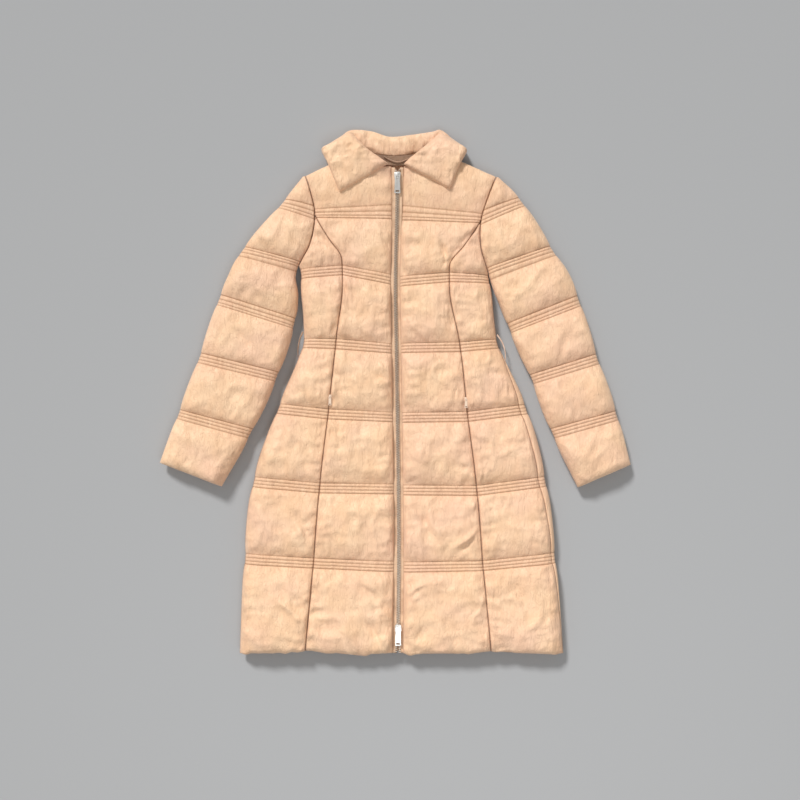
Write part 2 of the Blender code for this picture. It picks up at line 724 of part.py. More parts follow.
def slider(name, place, size, nose, base):
    """A slider: a body that straddles the chain, with a bridge for the pull. Its channel runs
    along Y, nose is 1 or -1 for the way its narrow end points, and base is the channel's roof."""
    body_long, body_wide, plate = SLIDER_LENGTH * size, 13.0 * size, 1.7 * size
    wall_low = TOOTH_THICK * size + 0.3
    bm = box_mesh((body_wide, body_long, plate + wall_low), (0.0, 0.0, (plate - wall_low) / 2))
    for v in bm.verts:
        if v.co.y * nose > 0:
            v.co.x *= 0.86
    bmesh.ops.bevel(bm, geom=[e for e in bm.edges if abs((e.verts[0].co - e.verts[1].co).z) > 1e-6],
                    offset=2.2 * size * MM, affect="EDGES", segments=3, profile=0.5, material=-1)
    mesh = bpy.data.meshes.new(name)
    bm.to_mesh(mesh)
    bm.free()
    made = new_object(name, mesh, "steel", STEEL)
    x, y = place
    made.location = Vector((x, y, base + SEAM_GAP)) * MM
    channel = helper(name + "_channel", box_mesh(
        (2 * (TOOTH_WIDTH + 0.7) * size + 0.9, body_long + 4.0, wall_low * 2), (0.0, 0.0, -wall_low)))
    channel.location = made.location
    boolean(made, channel, "DIFFERENCE")
    bridge_long, bridge_wide, bridge_high = 8.6 * size, 3.0 * size, 4.6 * size
    bridge = helper(name + "_bridge", box_mesh(
        (bridge_wide, bridge_long, bridge_high), (0.0, 0.0, plate - 0.4 * size + bridge_high / 2)))
    bridge.location = made.location
    boolean(made, bridge, "UNION")
    window = helper(name + "_window", box_mesh(
        (bridge_wide * 2, 5.8 * size, 3.2 * size), (0.0, 0.0, plate + 1.6 * size + 0.02)))
    window.location = made.location
    boolean(made, window, "DIFFERENCE")
    axis = Vector((x, y, base + SEAM_GAP + plate + 1.6 * size))
    return made, axis


def pull(name, axis, size, tilt):
    """A pull tab, its eye bar on the hinge axis and the tab running towards the hem."""
    long, wide, thick = PULL_LENGTH * size, PULL_WIDTH * size, 1.6 * size
    bm = box_mesh((wide, long, thick), (0.0, -long / 2 + thick / 2, 0.0))
    for v in bm.verts:
        if v.co.y > 0:
            v.co.x *= 0.82
    corners = [e for e in bm.edges if abs((e.verts[0].co - e.verts[1].co).z) > 1e-6]
    bmesh.ops.bevel(bm, geom=corners, offset=0.7 * size * MM, affect="EDGES", segments=2,
                    profile=0.5, material=-1)
    mesh = bpy.data.meshes.new(name)
    bm.to_mesh(mesh)
    bm.free()
    made = new_object(name, mesh, "steel", STEEL)
    made.location = axis * MM
    made.rotation_euler = (math.radians(tilt), 0.0, 0.0)
    eye_long = 6.6 * size
    windows = [
        (4.8 * size, eye_long, -thick / 2 - eye_long / 2),
        (wide - 4.6 * size, 3.6 * size, -long + 5.0 * size),
    ]
    for index, (across_x, along_y, middle_y) in enumerate(windows):
        tool = helper(f"{name}_window_{index}", box_mesh((across_x, along_y, thick * 4), (0.0, middle_y, 0.0)))
        tool.matrix_world = Matrix.Translation(made.location) @ Matrix.Rotation(math.radians(tilt), 4, "X")
        boolean(made, tool, "DIFFERENCE")
    return made


def front_zip():
    for side in (RIGHT, LEFT):
        zip_tape(side)
        zip_teeth(side)
    for name, y, nose in (("top", TOP_SLIDER_Y, -1), ("bottom", BOTTOM_SLIDER_Y, 1)):
        right, left = zip_line(y)
        _, axis = slider(f"zip_slider_{name}", ((right + left) / 2, y), 1.0, nose, CHAIN_TOP)
        pull(f"zip_pull_{name}", axis, 1.0, PULL_TILT)


def seam_height(side, t, distance):
    """Height of the front's outer face at this distance from the princess seam."""
    full = loft_height(t) * puff(crown_share(t)) * hem_rise(side, t, HEM_EDGE)
    return MIDDLE + SEAM_GAP / 2 + full * rise(distance, SEAM_EDGE)


def pocket(side):
    """The concealed zip in the princess seam, closed, with its small slider and pull at the top."""
    rings = []
    count = 10
    half = POCKET_MOUTH / 2 - SEAM_GAP
    for i in range(count + 1):
        t = POCKET_BOTTOM + 0.02 + (POCKET_TOP - POCKET_BOTTOM - 0.04) * i / count
        p = princess(side, t)
        low, high = MIDDLE + SEAM_GAP, seam_height(side, t, 0.0) - 1.0
        rings.append([(p.x - half, p.y, low), (p.x + half, p.y, low), (p.x + half, p.y, high), (p.x - half, p.y, high)])
    loft(f"pocket_zip_{side}", rings, "tape", TAPE)
    place = princess(side, POCKET_SLIDER_ROW)
    walls = TOOTH_THICK * SMALL_ZIP + SEAM_GAP
    base = seam_height(side, POCKET_SLIDER_ROW, POCKET_MOUTH / 4) + walls
    _, axis = slider(f"pocket_slider_{side}", (place.x, place.y), SMALL_ZIP, -1, base)
    pull(f"pocket_pull_{side}", axis, SMALL_ZIP, POCKET_PULL_TILT)


# ---------------------------------------------------------------- build
def clear_scene():
    for old in list(bpy.data.objects):
        bpy.data.objects.remove(old)


clear_scene()
COAT = bpy.data.collections.new("puffer_coat")
CUTTERS = bpy.data.collections.new("cutters")
for group in (COAT, CUTTERS):
    bpy.context.scene.collection.children.link(group)

for side in (RIGHT, LEFT):
    front_centre(side)
    front_side(side)
    back_side(side)
    sleeve_half(side, True)
    sleeve_half(side, False)
back_centre()
back_neck()
collar()
hanger_loop()
belt_loop(RIGHT)
belt_loop(LEFT)
front_zip()
pocket(RIGHT)
pocket(LEFT)
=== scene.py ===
"""The looks of a long quilted puffer coat, zipped up and laid on its back.

+Y runs from the hem to the collar, +X to the wearer's left, +Z up off the floor. The tables and
sizes below are in millimetres, and meshes are built from them in metres.
"""

import math
from collections import namedtuple

import bmesh
import bpy
import numpy as np
from mathutils import Matrix, Vector


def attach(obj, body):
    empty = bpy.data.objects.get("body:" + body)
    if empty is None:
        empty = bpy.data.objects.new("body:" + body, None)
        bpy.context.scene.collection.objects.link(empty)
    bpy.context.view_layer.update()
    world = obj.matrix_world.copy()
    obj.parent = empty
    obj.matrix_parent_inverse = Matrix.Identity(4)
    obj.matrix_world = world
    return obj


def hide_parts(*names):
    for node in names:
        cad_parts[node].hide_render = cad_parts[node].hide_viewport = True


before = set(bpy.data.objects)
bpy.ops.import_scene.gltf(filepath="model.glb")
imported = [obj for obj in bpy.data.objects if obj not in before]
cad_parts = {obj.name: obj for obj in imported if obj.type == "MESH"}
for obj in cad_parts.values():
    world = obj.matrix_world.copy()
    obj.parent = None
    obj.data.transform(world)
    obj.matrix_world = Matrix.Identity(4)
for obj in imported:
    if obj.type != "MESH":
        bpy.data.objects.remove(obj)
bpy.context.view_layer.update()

MM = 0.001
RIGHT, LEFT = "right", "left"

# ---- heights
MIDDLE = 18.0  # the plane where the front lies on the back
SEAM_GAP = 0.3  # between neighbouring panels, and between the front and the back
CEILING, FLOOR = MIDDLE - SEAM_GAP / 2, MIDDLE + SEAM_GAP / 2  # top of the back, underside of the front
BODY_LOFT = 25.0
YOKE_LOFT = 12.0
SLEEVE_LOFT = 22.0
LEAST_RISE = 0.6  # every panel is at least this thick

# ---- quilting
CHANNEL = 6.5  # between two of a band's four stitch lines
BAND_EDGE = 1.5 * CHANNEL
BAND_SHARE = 0.60
RIDGE = 1.5  # how far each pin tuck stands up between its stitch lines
PUFF_REACH = 46.0  # how far from a stitch line a block reaches its full height
BAND_FADE = 9.0  # how soon a block's unevenness grows away from a band
BLOCK_SWELL, BAND_DRAW = 3.0, 1.2  # an outline swells beside a block and draws in at a band
PAINTED_SHADE_REACH = 26.0  # how far the painted shade spreads from a seam or a band
SEAM_LINE = 1.3
GROOVE, GROOVE_REACH = 2.5, 12.0  # how far the underside lifts at a band

# an edge of a panel: its share of the full height, and how far in it rises to all of it
Edge = namedtuple("Edge", "share width")
ZIP_EDGE = Edge(0.46, 24.0)
SEAM_EDGE = Edge(0.76, 15.0)
SIDE_EDGE = Edge(0.0, 36.0)
ARMHOLE_EDGE = Edge(0.60, 22.0)
HEM_EDGE = Edge(0.30, 24.0)
SHOULDER_EDGE = Edge(0.12, 26.0)
UNDER_EDGE = Edge(0.0, 24.0)
TURNED_EDGE = Edge(0.8, 9.0)  # where the left back comes round to the front

# ---- the front, a row for each quilting band
Band = namedtuple("Band", "name zip_x zip_y seam_x seam_y side_x side_y wrap")
FRONT = {
    RIGHT: [
        Band("hem", -11, -523, -181, -513, -311, -519, 0),
        Band("thigh", -8, -347, -165, -340, -303, -332, 0),
        Band("low_hip", -8, -193, -153, -191, -286, -179, 0),
        Band("hip", -10, -51, -136, -45, -237, -34, 0),
        Band("waist", -12, 85, -121, 94, -187, 96, 0),
        Band("bust", -14, 221, -109, 239, -192, 233, 0),
        Band("chest", -11, 351, -163, 351, -196, 260, 0),
        Band("neck", -12, 446, -174, 404, -196, 280, 0),
        Band("shoulder", -74, 480, -182, 428, -196, 300, 0),
    ],
    LEFT: [
        Band("hem", 14, -523, 186, -513, 329, -517, 0),
        Band("thigh", 15, -348, 170, -345, 315, -330, 7),
        Band("low_hip", 14, -195, 158, -196, 296, -178, 14),
        Band("hip", 12, -52, 140, -50, 258, -35, 13),
        Band("waist", 10, 86, 125, 88, 201, 95, 0),
        Band("bust", 8, 217, 105, 225, 184, 223, 0),
        Band("chest", 11, 349, 167, 341, 180, 250, 0),
        Band("neck", 14, 446, 187, 402, 180, 270, 0),
        Band("shoulder", 74, 481, 197, 426, 180, 290, 0),
    ],
}
HEM, THIGH, LOW_HIP, HIP, WAIST, BUST, CHEST, NECK, SHOULDER = range(9)
BODY_BANDED = [False, True, True, True, True, True, True, False, False]
UNDERARM_ROW = BUST + 0.14
SIDE_TOP = BUST + 0.95  # where a side panel runs out
HEM_BLOCK = 170.0  # height of the block above the hem
SHOULDER_RUN = 34.0  # from the neck row up to the shoulder seam
BACK_NECK_DEPTH = 12.0
# the princess seam turns sharply a little above the bust band
SEAM_TURN = {RIGHT: 7.0, LEFT: -9.0}
SEAM_TURN_ROW, SEAM_TURN_REACH = BUST + 0.24, 0.17
ZIP_OVERLAP = 1.7  # how far each front's rolled edge reaches over the tape

Point = namedtuple("Point", "name x y")
ARMHOLE = {
    RIGHT: [
        Point("shoulder", -182, 428),
        Point("upper", -174, 404),
        Point("chest", -163, 351),
        Point("lower", -172, 292),
        Point("underarm", -195, 250),
    ],
    LEFT: [
        Point("shoulder", 197, 426),
        Point("upper", 187, 402),
        Point("chest", 167, 341),
        Point("lower", 166, 284),
        Point("underarm", 181, 236),
    ],
}

Arm = namedtuple("Arm", "name outer_x outer_y inner_x inner_y banded")
SLEEVE = {
    RIGHT: [
        Arm("cap", -187, 427, -184, 424, False),
        Arm("sleeve_head", -231, 372, -164, 348, True),
        Arm("biceps", -308, 281, -199, 246, True),
        Arm("upper_arm", -334, 230, -198, 188, False),
        Arm("elbow", -356, 180, -204, 132, True),
        Arm("forearm", -394, 67, -238, 29, True),
        Arm("wrist", -435, -44, -290, -83, True),
        Arm("cuff", -470, -142, -350, -188, False),
    ],
    LEFT: [
        Arm("cap", 203, 425, 199, 422, False),
        Arm("sleeve_head", 250, 376, 168, 334, True),
        Arm("biceps", 310, 282, 183, 228, True),
        Arm("upper_arm", 341, 233, 204, 176, False),
        Arm("elbow", 364, 178, 223, 123, True),
        Arm("forearm", 400, 65, 267, 24, True),
        Arm("wrist", 438, -47, 308, -83, True),
        Arm("cuff", 463, -146, 361, -190, False),
    ],
}

Leaf = namedtuple("Leaf", "name roll_x roll_y edge_x edge_y top foot")
COLLAR = {
    RIGHT: [
        Leaf("front", -17, 450, -113, 394, 40.0, 31.0),
        Leaf("break", -39, 466, -126, 424, 41.0, 31.0),
        Leaf("turn", -60, 481, -138, 453, 41.0, 31.0),
        Leaf("side", -80, 504, -150, 478, 37.0, 17.0),
        Leaf("fold", -93, 521, -146, 488, 22.0, 6.0),
    ],
    LEFT: [
        Leaf("front", 13, 449, 105, 399, 40.0, 31.0),
        Leaf("break", 26, 462, 116, 428, 41.0, 31.0),
        Leaf("turn", 42, 474, 128, 455, 41.0, 31.0),
        Leaf("side", 68, 499, 139, 477, 37.0, 17.0),
        Leaf("fold", 88, 521, 134, 488, 22.0, 6.0),
    ],
}
Stand = namedtuple("Stand", "x roll_y")
STAND = [
    Stand(-116, 505), Stand(-92, 521), Stand(-52, 519), Stand(-14, 508),
    Stand(30, 512), Stand(70, 518), Stand(88, 521), Stand(110, 505),
]

# ---- creases: both ends, how wide, and how deep (below zero) or high
CREASE_LIFT = 2.6
Crease = namedtuple("Crease", "x0 y0 x1 y1 width depth")
CREASES = [
    Crease(154, -275, 114, -309, 5, 2.6),
    Crease(150, -292, 122, -322, 6, -2.0),
    Crease(-71, -370, -19, -413, 8, 2.2),
    Crease(-60, -385, -16, -430, 7, -2.2),
    Crease(28, -395, 58, -375, 5, 2.4),
    Crease(24, -372, 42, -398, 5, -1.8),
    Crease(-232, -405, -188, -453, 7, 2.4),
    Crease(-210, -249, -176, -301, 7, 2.2),
    Crease(-196, -250, -172, -282, 6, -1.6),
    Crease(50, -239, 76, -301, 9, -2.2),
    Crease(64, -246, 92, -300, 7, 1.8),
    Crease(89, 303, 98, 249, 5, -2.6),
    Crease(97, 296, 101, 250, 5, 1.6),
    Crease(-113, 249, -100, 189, 5, -2.2),
    Crease(-104, 246, -94, 196, 5, 1.8),
    Crease(26, 139, 56, 101, 6, 2.0),
    Crease(-46, 333, -28, 307, 6, 1.6),
    Crease(-48, 40, -18, 8, 7, -1.6),
    Crease(30, -100, 62, -140, 8, 1.8),
    Crease(180, -60, 214, -96, 7, -1.6),
    Crease(-270, -230, -240, -300, 9, 1.8),
    Crease(230, -380, 262, -440, 9, -2.0),
    Crease(286, -440, 246, -480, 7, 2.0),
    Crease(-120, -440, -90, -492, 7, 1.8),
    Crease(-60, -458, -30, -500, 6, -2.0),
    Crease(80, -455, 108, -500, 7, 2.0),
    Crease(-300, 330, -262, 300, 7, 1.8),
    Crease(-318, 120, -286, 82, 7, -1.8),
    Crease(290, 250, 262, 214, 7, 1.8),
    Crease(340, 110, 318, 60, 7, -1.8),
    Crease(-380, -60, -352, -112, 7, 1.8),
    Crease(398, -60, 372, -122, 7, 1.8),
]

# ---- zip
TAPE_Z = 25.0
TAPE_THICK = 1.2
TOOTH_WIDTH = 4.4
TOOTH_THICK = 3.4
TOOTH_PITCH = 3.4
TOOTH_OVERLAP, TOOTH_BEVEL = 0.6, 0.32
ZIP_TOP, ZIP_END = 444.0, -518.0
MESHED_TOP, MESHED_BOTTOM = 434.0, -475.0
TOP_SPREAD, BOTTOM_SPREAD = 0.5, 0.05  # how fast the rows part beyond the sliders
POCKET_TOP, POCKET_BOTTOM = HIP + 0.24, LOW_HIP + 0.25

# ---- inside of the neck
NECK_HALF = 58.0
LINING_TOP = 19.3
HANGER_LEFT, HANGER_SPAN, HANGER_SAG = -26.0, 56.0, 11.0
HANGER_Z, HANGER_TURNS = 21.9, 6

# ---- columns across each piece
CENTRE_COLUMNS, SIDE_COLUMNS, BACK_COLUMNS, SLEEVE_COLUMNS = 62, 52, 90, 54
LEAF_ROWS, LEAF_COLUMNS = 70, 56
STAND_ROWS, STAND_COLUMNS = 110, 26


# ---------------------------------------------------------------- curves
def along(points, t):
    """A smooth curve through points, one for each whole t, at an array of t."""
    points = np.asarray(points, float)
    t = np.atleast_1d(np.asarray(t, float))
    last = len(points) - 1
    k = np.clip(np.floor(t).astype(int), 0, last - 1)
    f = (t - k)[:, None]
    padded = np.vstack([2 * points[0] - points[1], points, 2 * points[-1] - points[-2]])
    a, b, c, d = padded[k], padded[k + 1], padded[k + 2], padded[k + 3]
    return 0.5 * (2 * b + (c - a) * f + (2 * a - 5 * b + 4 * c - d) * f * f
                  + (3 * b - a - 3 * c + d) * f ** 3)


def armhole(side, q):
    """The armhole seam from the shoulder, q = 0, to under the arm, q = 4."""
    return along([(p.x, p.y) for p in ARMHOLE[side]], q)


def choose(mask, yes, no):
    """Points from yes where mask holds, and from no elsewhere."""
    return np.where(mask[:, None], yes, no)


def direction(a, b):
    """The unit vector from each point of a to the same point of b."""
    step = b - a
    return step / np.maximum(np.linalg.norm(step, axis=1), 1e-6)[:, None]


def zip_edge(side, t):
    """The front edge beside the zip, then the neckline out to the collar's end."""
    a, b = FRONT[side][NECK], FRONT[side][SHOULDER]
    f = np.clip(t - NECK, 0, 1)
    hollow = 0.28 * np.sin(math.pi * f) * (b.zip_y - a.zip_y)
    neckline = np.stack([a.zip_x + f * (b.zip_x - a.zip_x), a.zip_y + f * (b.zip_y - a.zip_y) - hollow], 1)
    rows = [(r.zip_x, r.zip_y) for r in FRONT[side][: NECK + 1]]
    return choose(t > NECK, neckline, along(rows, np.minimum(t, NECK)))


def princess(side, t):
    """The seam between the centre and the side panel, which joins the armhole at the chest."""
    seam = along([(r.seam_x, r.seam_y) for r in FRONT[side]], np.minimum(t, CHEST))
    seam[:, 0] += SEAM_TURN[side] * np.exp(-((t - SEAM_TURN_ROW) / SEAM_TURN_REACH) ** 2)
    return choose(t >= CHEST, armhole(side, 2.0 - (np.maximum(t, CHEST) - CHEST)), seam)


def side_line(side, t):
    """The side of the body up to the underarm, then the armhole."""
    rows = [(r.side_x, r.side_y) for r in FRONT[side][: BUST + 1]]
    low = along(rows, np.minimum(t, BUST))
    f = np.clip((t - BUST) / (UNDERARM_ROW - BUST), 0, 1)[:, None]
    low = low + f * (armhole(side, np.full(len(t), 4.0)) - low)
    share = np.clip((t - UNDERARM_ROW) / (CHEST - UNDERARM_ROW), 0, 1)
    return choose(t > UNDERARM_ROW, armhole(side, 4.0 - 2.0 * share), low)


def wrap(side, t):
    """How far the back comes round the side and shows at the front."""
    rows = [(r.wrap, 0.0) for r in FRONT[side]]
    return np.where(t < WAIST, np.maximum(0.0, along(rows, t)[:, 0]), 0.0)


def back_top_line(x):
    """The back's top edge: the neckline's dip, and the shoulder seams beyond it."""
    def one(row):
        slope = (row.seam_y - row.zip_y) / (abs(row.seam_x) - abs(row.zip_x))
        beyond = row.zip_y + (np.abs(x) - abs(row.zip_x)) * slope
        inside = row.zip_y - BACK_NECK_DEPTH * (1.0 - (x / row.zip_x) ** 2)
        return np.where(np.abs(x) > abs(row.zip_x), beyond, inside)

    return np.where(x < 0, one(FRONT[RIGHT][SHOULDER]), one(FRONT[LEFT][SHOULDER]))


def rise(distance, edge):
    """A quarter round: the share of full height at a distance in from an edge."""
    f = np.clip(distance / edge.width, 0.0, 1.0)
    return edge.share + (1.0 - edge.share) * np.sqrt(1.0 - (1.0 - f) ** 2)


# ---------------------------------------------------------------- cloth relief
def noise(x, y, seed):
    """Smooth noise from -1 to 1, with spots one unit apart."""
    x, y = np.broadcast_arrays(x, y)
    xi, yi = np.floor(x).astype(np.int64), np.floor(y).astype(np.int64)
    fx, fy = x - xi, y - yi
    sx = fx ** 3 * (fx * (fx * 6 - 15) + 10)
    sy = fy ** 3 * (fy * (fy * 6 - 15) + 10)

    def corner(i, j):
        h = ((xi + i) * 374761393 + (yi + j) * 668265263 + seed * 974634777) & 0xFFFFFFFF
        h = ((h ^ (h >> 13)) * 1274126177) & 0xFFFFFFFF
        return ((h ^ (h >> 16)) & 0xFFFF) / 32767.5 - 1.0

    low = corner(0, 0) * (1 - sx) + corner(1, 0) * sx
    high = corner(0, 1) * (1 - sx) + corner(1, 1) * sx
    return low * (1 - sy) + high * sy


def crumple(x, y, seed):
    """Soft, irregular creasing of slack cloth, in millimetres of height."""
    wx = x + 9 * noise(x / 38, y / 38, seed + 1)
    wy = y + 9 * noise(x / 38, y / 38, seed + 2)
    broad = 3.0 * noise(wx / 55, wy / 60, seed + 3)
    folds = 4.4 * (0.5 - np.abs(noise(wx / 29, wy / 36, seed + 4)))
    small = 2.4 * (0.5 - np.abs(noise(wx / 12, wy / 18, seed + 5)))
    slub = 0.28 * noise(x / 3.4, y / 15, seed + 6)
    return broad + folds + small + slub


def puckers(run, away, reach, pitch, seed):
    """Short gathers that leave a stitch line at right angles and fade."""
    spread_run = run + 0.22 * away * noise(run / 30, away / 30, seed + 9)
    ridge = noise(spread_run / pitch, away / (reach * 1.6), seed)
    ridge = ridge + 0.5 * noise(spread_run / (pitch * 0.5), away / reach, seed + 3)
    return ridge * np.exp(-away / reach)


def creases(x, y):
    """The height that the listed creases add at each point."""
    total = np.zeros_like(x)
    for c in CREASES:
        dx, dy = c.x1 - c.x0, c.y1 - c.y0
        length = math.hypot(dx, dy)
        near = (x - c.x0) * dx / length + (y - c.y0) * dy / length
        off = (x - c.x0) * -dy / length + (y - c.y0) * dx / length
        off = off + 2.2 * np.sin(near / length * 4.1 + c.x0)
        f = np.clip(near / length, 0, 1)
        beyond = near - np.clip(near, 0, length)
        size = np.sin(math.pi * (0.12 + 0.76 * f)) * np.exp(-(beyond / 10) ** 2)
        total += CREASE_LIFT * c.depth * size * np.exp(-(off / c.width) ** 2)
    return total


def block(length, s, banded_low, banded_high):
    """Relief between two bands at a distance s from the lower one: the share of full height,
    the pin tucks, how near a stitch line is, with a painted shadow strongest on each band's lowest line, and
    how far the nearest band's edge is."""
    low = s if banded_low else np.full_like(s, 1e3)
    high = length - s if banded_high else np.full_like(s, 1e3)
    off = np.minimum(low, high)
    away = np.maximum(off - BAND_EDGE, 0.0)
    bands = banded_low + banded_high
    reach = min(PUFF_REACH, (length - BAND_EDGE * bands) / (bands or 1))
    f = np.clip(away / reach, 0, 1)
    share = BAND_SHARE + (1 - BAND_SHARE) * (1 - (1 - f) ** 2.3) ** 0.72
    inside = off <= BAND_EDGE
    tuck = np.where(inside, RIDGE * np.abs(np.cos(math.pi * off / CHANNEL)) ** 0.6, 0.0)
    line = np.abs(off[..., None] - np.array([CHANNEL / 2, BAND_EDGE])).min(-1)
    # painted shadow: each band's lowest stitch line is drawn at full darkness, the others at 0.72
    band_line_shadow = np.where((high < low) & (np.abs(off - BAND_EDGE) < 1.6), 1.0, 0.72)
    stitch = band_line_shadow * np.exp(-(line / 0.85) ** 2)
    return share, tuck, stitch, away


NEAR_BAND_UP = np.concatenate([np.arange(0, 13.2, 1.1), [15, 17, 19.5, 22.5]])
NEAR_BAND_DOWN = np.concatenate([[22.5, 19.5, 17, 15], np.arange(13.2, 0, -1.1)])
NEAR_OPEN_END = np.array([0, 0.5, 1.2, 2.2, 3.6, 5.5, 8, 11, 14.5, 18.5])
ROW_STEP = 3.6


def row_positions(lengths, banded):
    """Rows of a panel, close together at the stitch lines and at open ends."""
    rows = []
    for k, length in enumerate(lengths):
        low, high = NEAR_BAND_UP, NEAR_BAND_DOWN
        if not banded[k]:
            low = NEAR_OPEN_END if k == 0 else np.array([0.0])
        if not banded[k + 1]:
            high = NEAR_OPEN_END[:0:-1] if k + 2 == len(banded) else np.array([4.0])
        low, high = low[low < length * 0.45], high[high < length * 0.45]
        start, stop = low[-1], length - high[0]
        count = max(2, int(round((stop - start) / ROW_STEP)))
        middle = np.linspace(start, stop, count + 1)[1:-1]
        rows += [k + s / length for s in np.concatenate([low, middle, length - high])]
    return np.array(rows + [float(len(lengths))])


def body_lengths():
    """The height of each block of the body, along the right princess seam."""
    seam = FRONT[RIGHT]
    return [math.hypot(b.seam_x - a.seam_x, b.seam_y - a.seam_y) for a, b in zip(seam, seam[1:])]


def block_of_rows(t, lengths, banded):
    """block() for a whole array of rows t."""
    out = [np.zeros_like(t) for _ in range(4)]
    for k, length in enumerate(lengths):
        here = np.clip(np.floor(t), 0, len(lengths) - 1) == k
        values = block(length, (t[here] - k) * length, banded[k], banded[k + 1])
        for o, v in zip(out, values):
            o[here] = v
    return out


# ---------------------------------------------------------------- meshes
def linked(name, data):
    made = bpy.data.objects.new(name, data)
    bpy.context.scene.collection.objects.link(made)
    return made


def mesh_object(name, bm):
    mesh = bpy.data.meshes.new(name)
    bm.to_mesh(mesh)
    bm.free()
    return linked(name, mesh)


def grid_object(name, points, **layers):
    """A tube of rings (rows, columns, 3) in millimetres, closed over both ends.
    A layer holds values (rows, columns) that the materials read. Its first column stands for any
    that it lacks, and a layer left out is zero."""
    rows, columns = points.shape[:2]
    bm = bmesh.new()
    bmesh.ops.create_grid(bm, x_segments=columns - 1, y_segments=rows - 1, size=0.5)
    mesh = bpy.data.meshes.new(name)
    bm.to_mesh(mesh)
    flat = np.empty(len(mesh.vertices) * 3)
    mesh.vertices.foreach_get("co", flat)
    flat = flat.reshape(-1, 3)
    i = np.rint((flat[:, 0] + 0.5) * (columns - 1)).astype(int)
    j = np.rint((flat[:, 1] + 0.5) * (rows - 1)).astype(int)
    mesh.vertices.foreach_set("co", (points[j, i] * MM).ravel())
    for layer in ("stitch", "seam", "hollow"):
        values = layers.get(layer, np.zeros((rows, 1)))
        missing = np.repeat(values[:, :1], columns - values.shape[1], axis=1)
        values = np.concatenate([values, missing], axis=1)
        made = mesh.attributes.new(layer, "FLOAT", "POINT")
        made.data.foreach_set("value", values[j, i].astype(np.float32).ravel())
    bm.clear()
    bm.from_mesh(mesh)
    bm.verts.ensure_lookup_table()
    ends = [v for v, c in zip(bm.verts, i) if c in (0, columns - 1)]
    bmesh.ops.remove_doubles(bm, verts=ends, dist=1e-6)
    bmesh.ops.holes_fill(bm, edges=[e for e in bm.edges if e.is_boundary])
    bmesh.ops.recalc_face_normals(bm, faces=bm.faces)
    for f in bm.faces:
        f.smooth = len(f.verts) == 4
    bm.to_mesh(mesh)
    bm.free()
    return linked(name, mesh)


def finish_piece(piece, node, material, body="coat"):
    """Gives a piece its material, its body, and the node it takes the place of."""
    piece.data.materials.clear()
    piece.data.materials.append(material)
    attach(piece, body)
    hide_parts(node)
    return piece


def spread_shares(count):
    """Shares from 0 to 1, closer together near both ends."""
    x = np.linspace(0, 1, count)
    return x - 0.11 * np.sin(2 * math.pi * x)


def column_grid(a, b, shares):
    """Points from the line a to the line b, with distances from each, all (rows, columns)."""
    length = np.linalg.norm(b - a, axis=1)
    plan = a[:, None] + (b - a)[:, None] * shares[None, :, None]
    return plan, shares[None] * length[:, None], (1 - shares[None]) * length[:, None]


def loft_height(t):
    """Full height of the front: the padded body, and the flatter yoke above the chest."""
    share = np.clip((t - BUST) / (CHEST + 0.4 - BUST), 0.0, 1.0)
    return BODY_LOFT + (YOKE_LOFT - BODY_LOFT) * share


def bulge(share):
    """How far an outline swells out beside a block that has this share of its height."""
    return BLOCK_SWELL * (share - BAND_SHARE) / (1 - BAND_SHARE) - BAND_DRAW


def tuck_share(fall):
    """Pin tucks fade out where a panel falls to its edge."""
    return np.clip(fall * 1.6 - 0.4, 0, 1)


def relief(plan, away_band, d_a, d_b, seed):
    """Everything uneven on a panel: crumple, gathers along its seams and bands, and creases."""
    x, y = plan[..., 0], plan[..., 1]
    free = 1 - np.exp(-away_band[:, None] / BAND_FADE)
    size = crumple(x, y, seed) * (0.25 + 0.75 * free)
    size = size + 4.0 * free * puckers(x, away_band[:, None] + 0 * x, reach=20, pitch=14, seed=seed + 20)
    for distance, offset in ((d_a, 30), (d_b, 40)):
        size = size + 5.6 * free * puckers(y, distance, reach=24, pitch=17, seed=seed + offset)
    edge = np.minimum(d_a, d_b)
    return (size + creases(x, y) * free) * np.clip(0.15 + edge / 9, 0, 1)


def joined(upper, under):
    """A ring of points from an upper and an under side, closed on its first column."""
    return np.concatenate([upper, under, upper[:, :1]], axis=1)


def close_under(top, level):
    """Rings from one side of a panel and a flat side at this level."""
    flat = top[:, [-1, 0]].copy()
    flat[..., 2] = level
    return joined(top, flat)


def with_height(plan, z):
    return np.concatenate([plan, z[..., None]], axis=-1)


def seam_layer(*distances):
    """1 on a seam line and 0 away from it."""
    near = np.zeros_like(distances[0])
    for distance in distances:
        near = np.maximum(near, np.exp(-(distance / SEAM_LINE) ** 2))
    return near


BODY_ROWS = row_positions(body_lengths(), BODY_BANDED)


def hem_wave(x, t):
    """The hem's edge isn't straight: it wanders up and down along its length."""
    near = np.clip(1 - (t - HEM) * HEM_BLOCK / 60, 0, 1)
    return near[:, None] * (3.6 * noise(x / 34, x * 0, 5) + 1.6 * noise(x / 13, x * 0, 6) - 0.8)


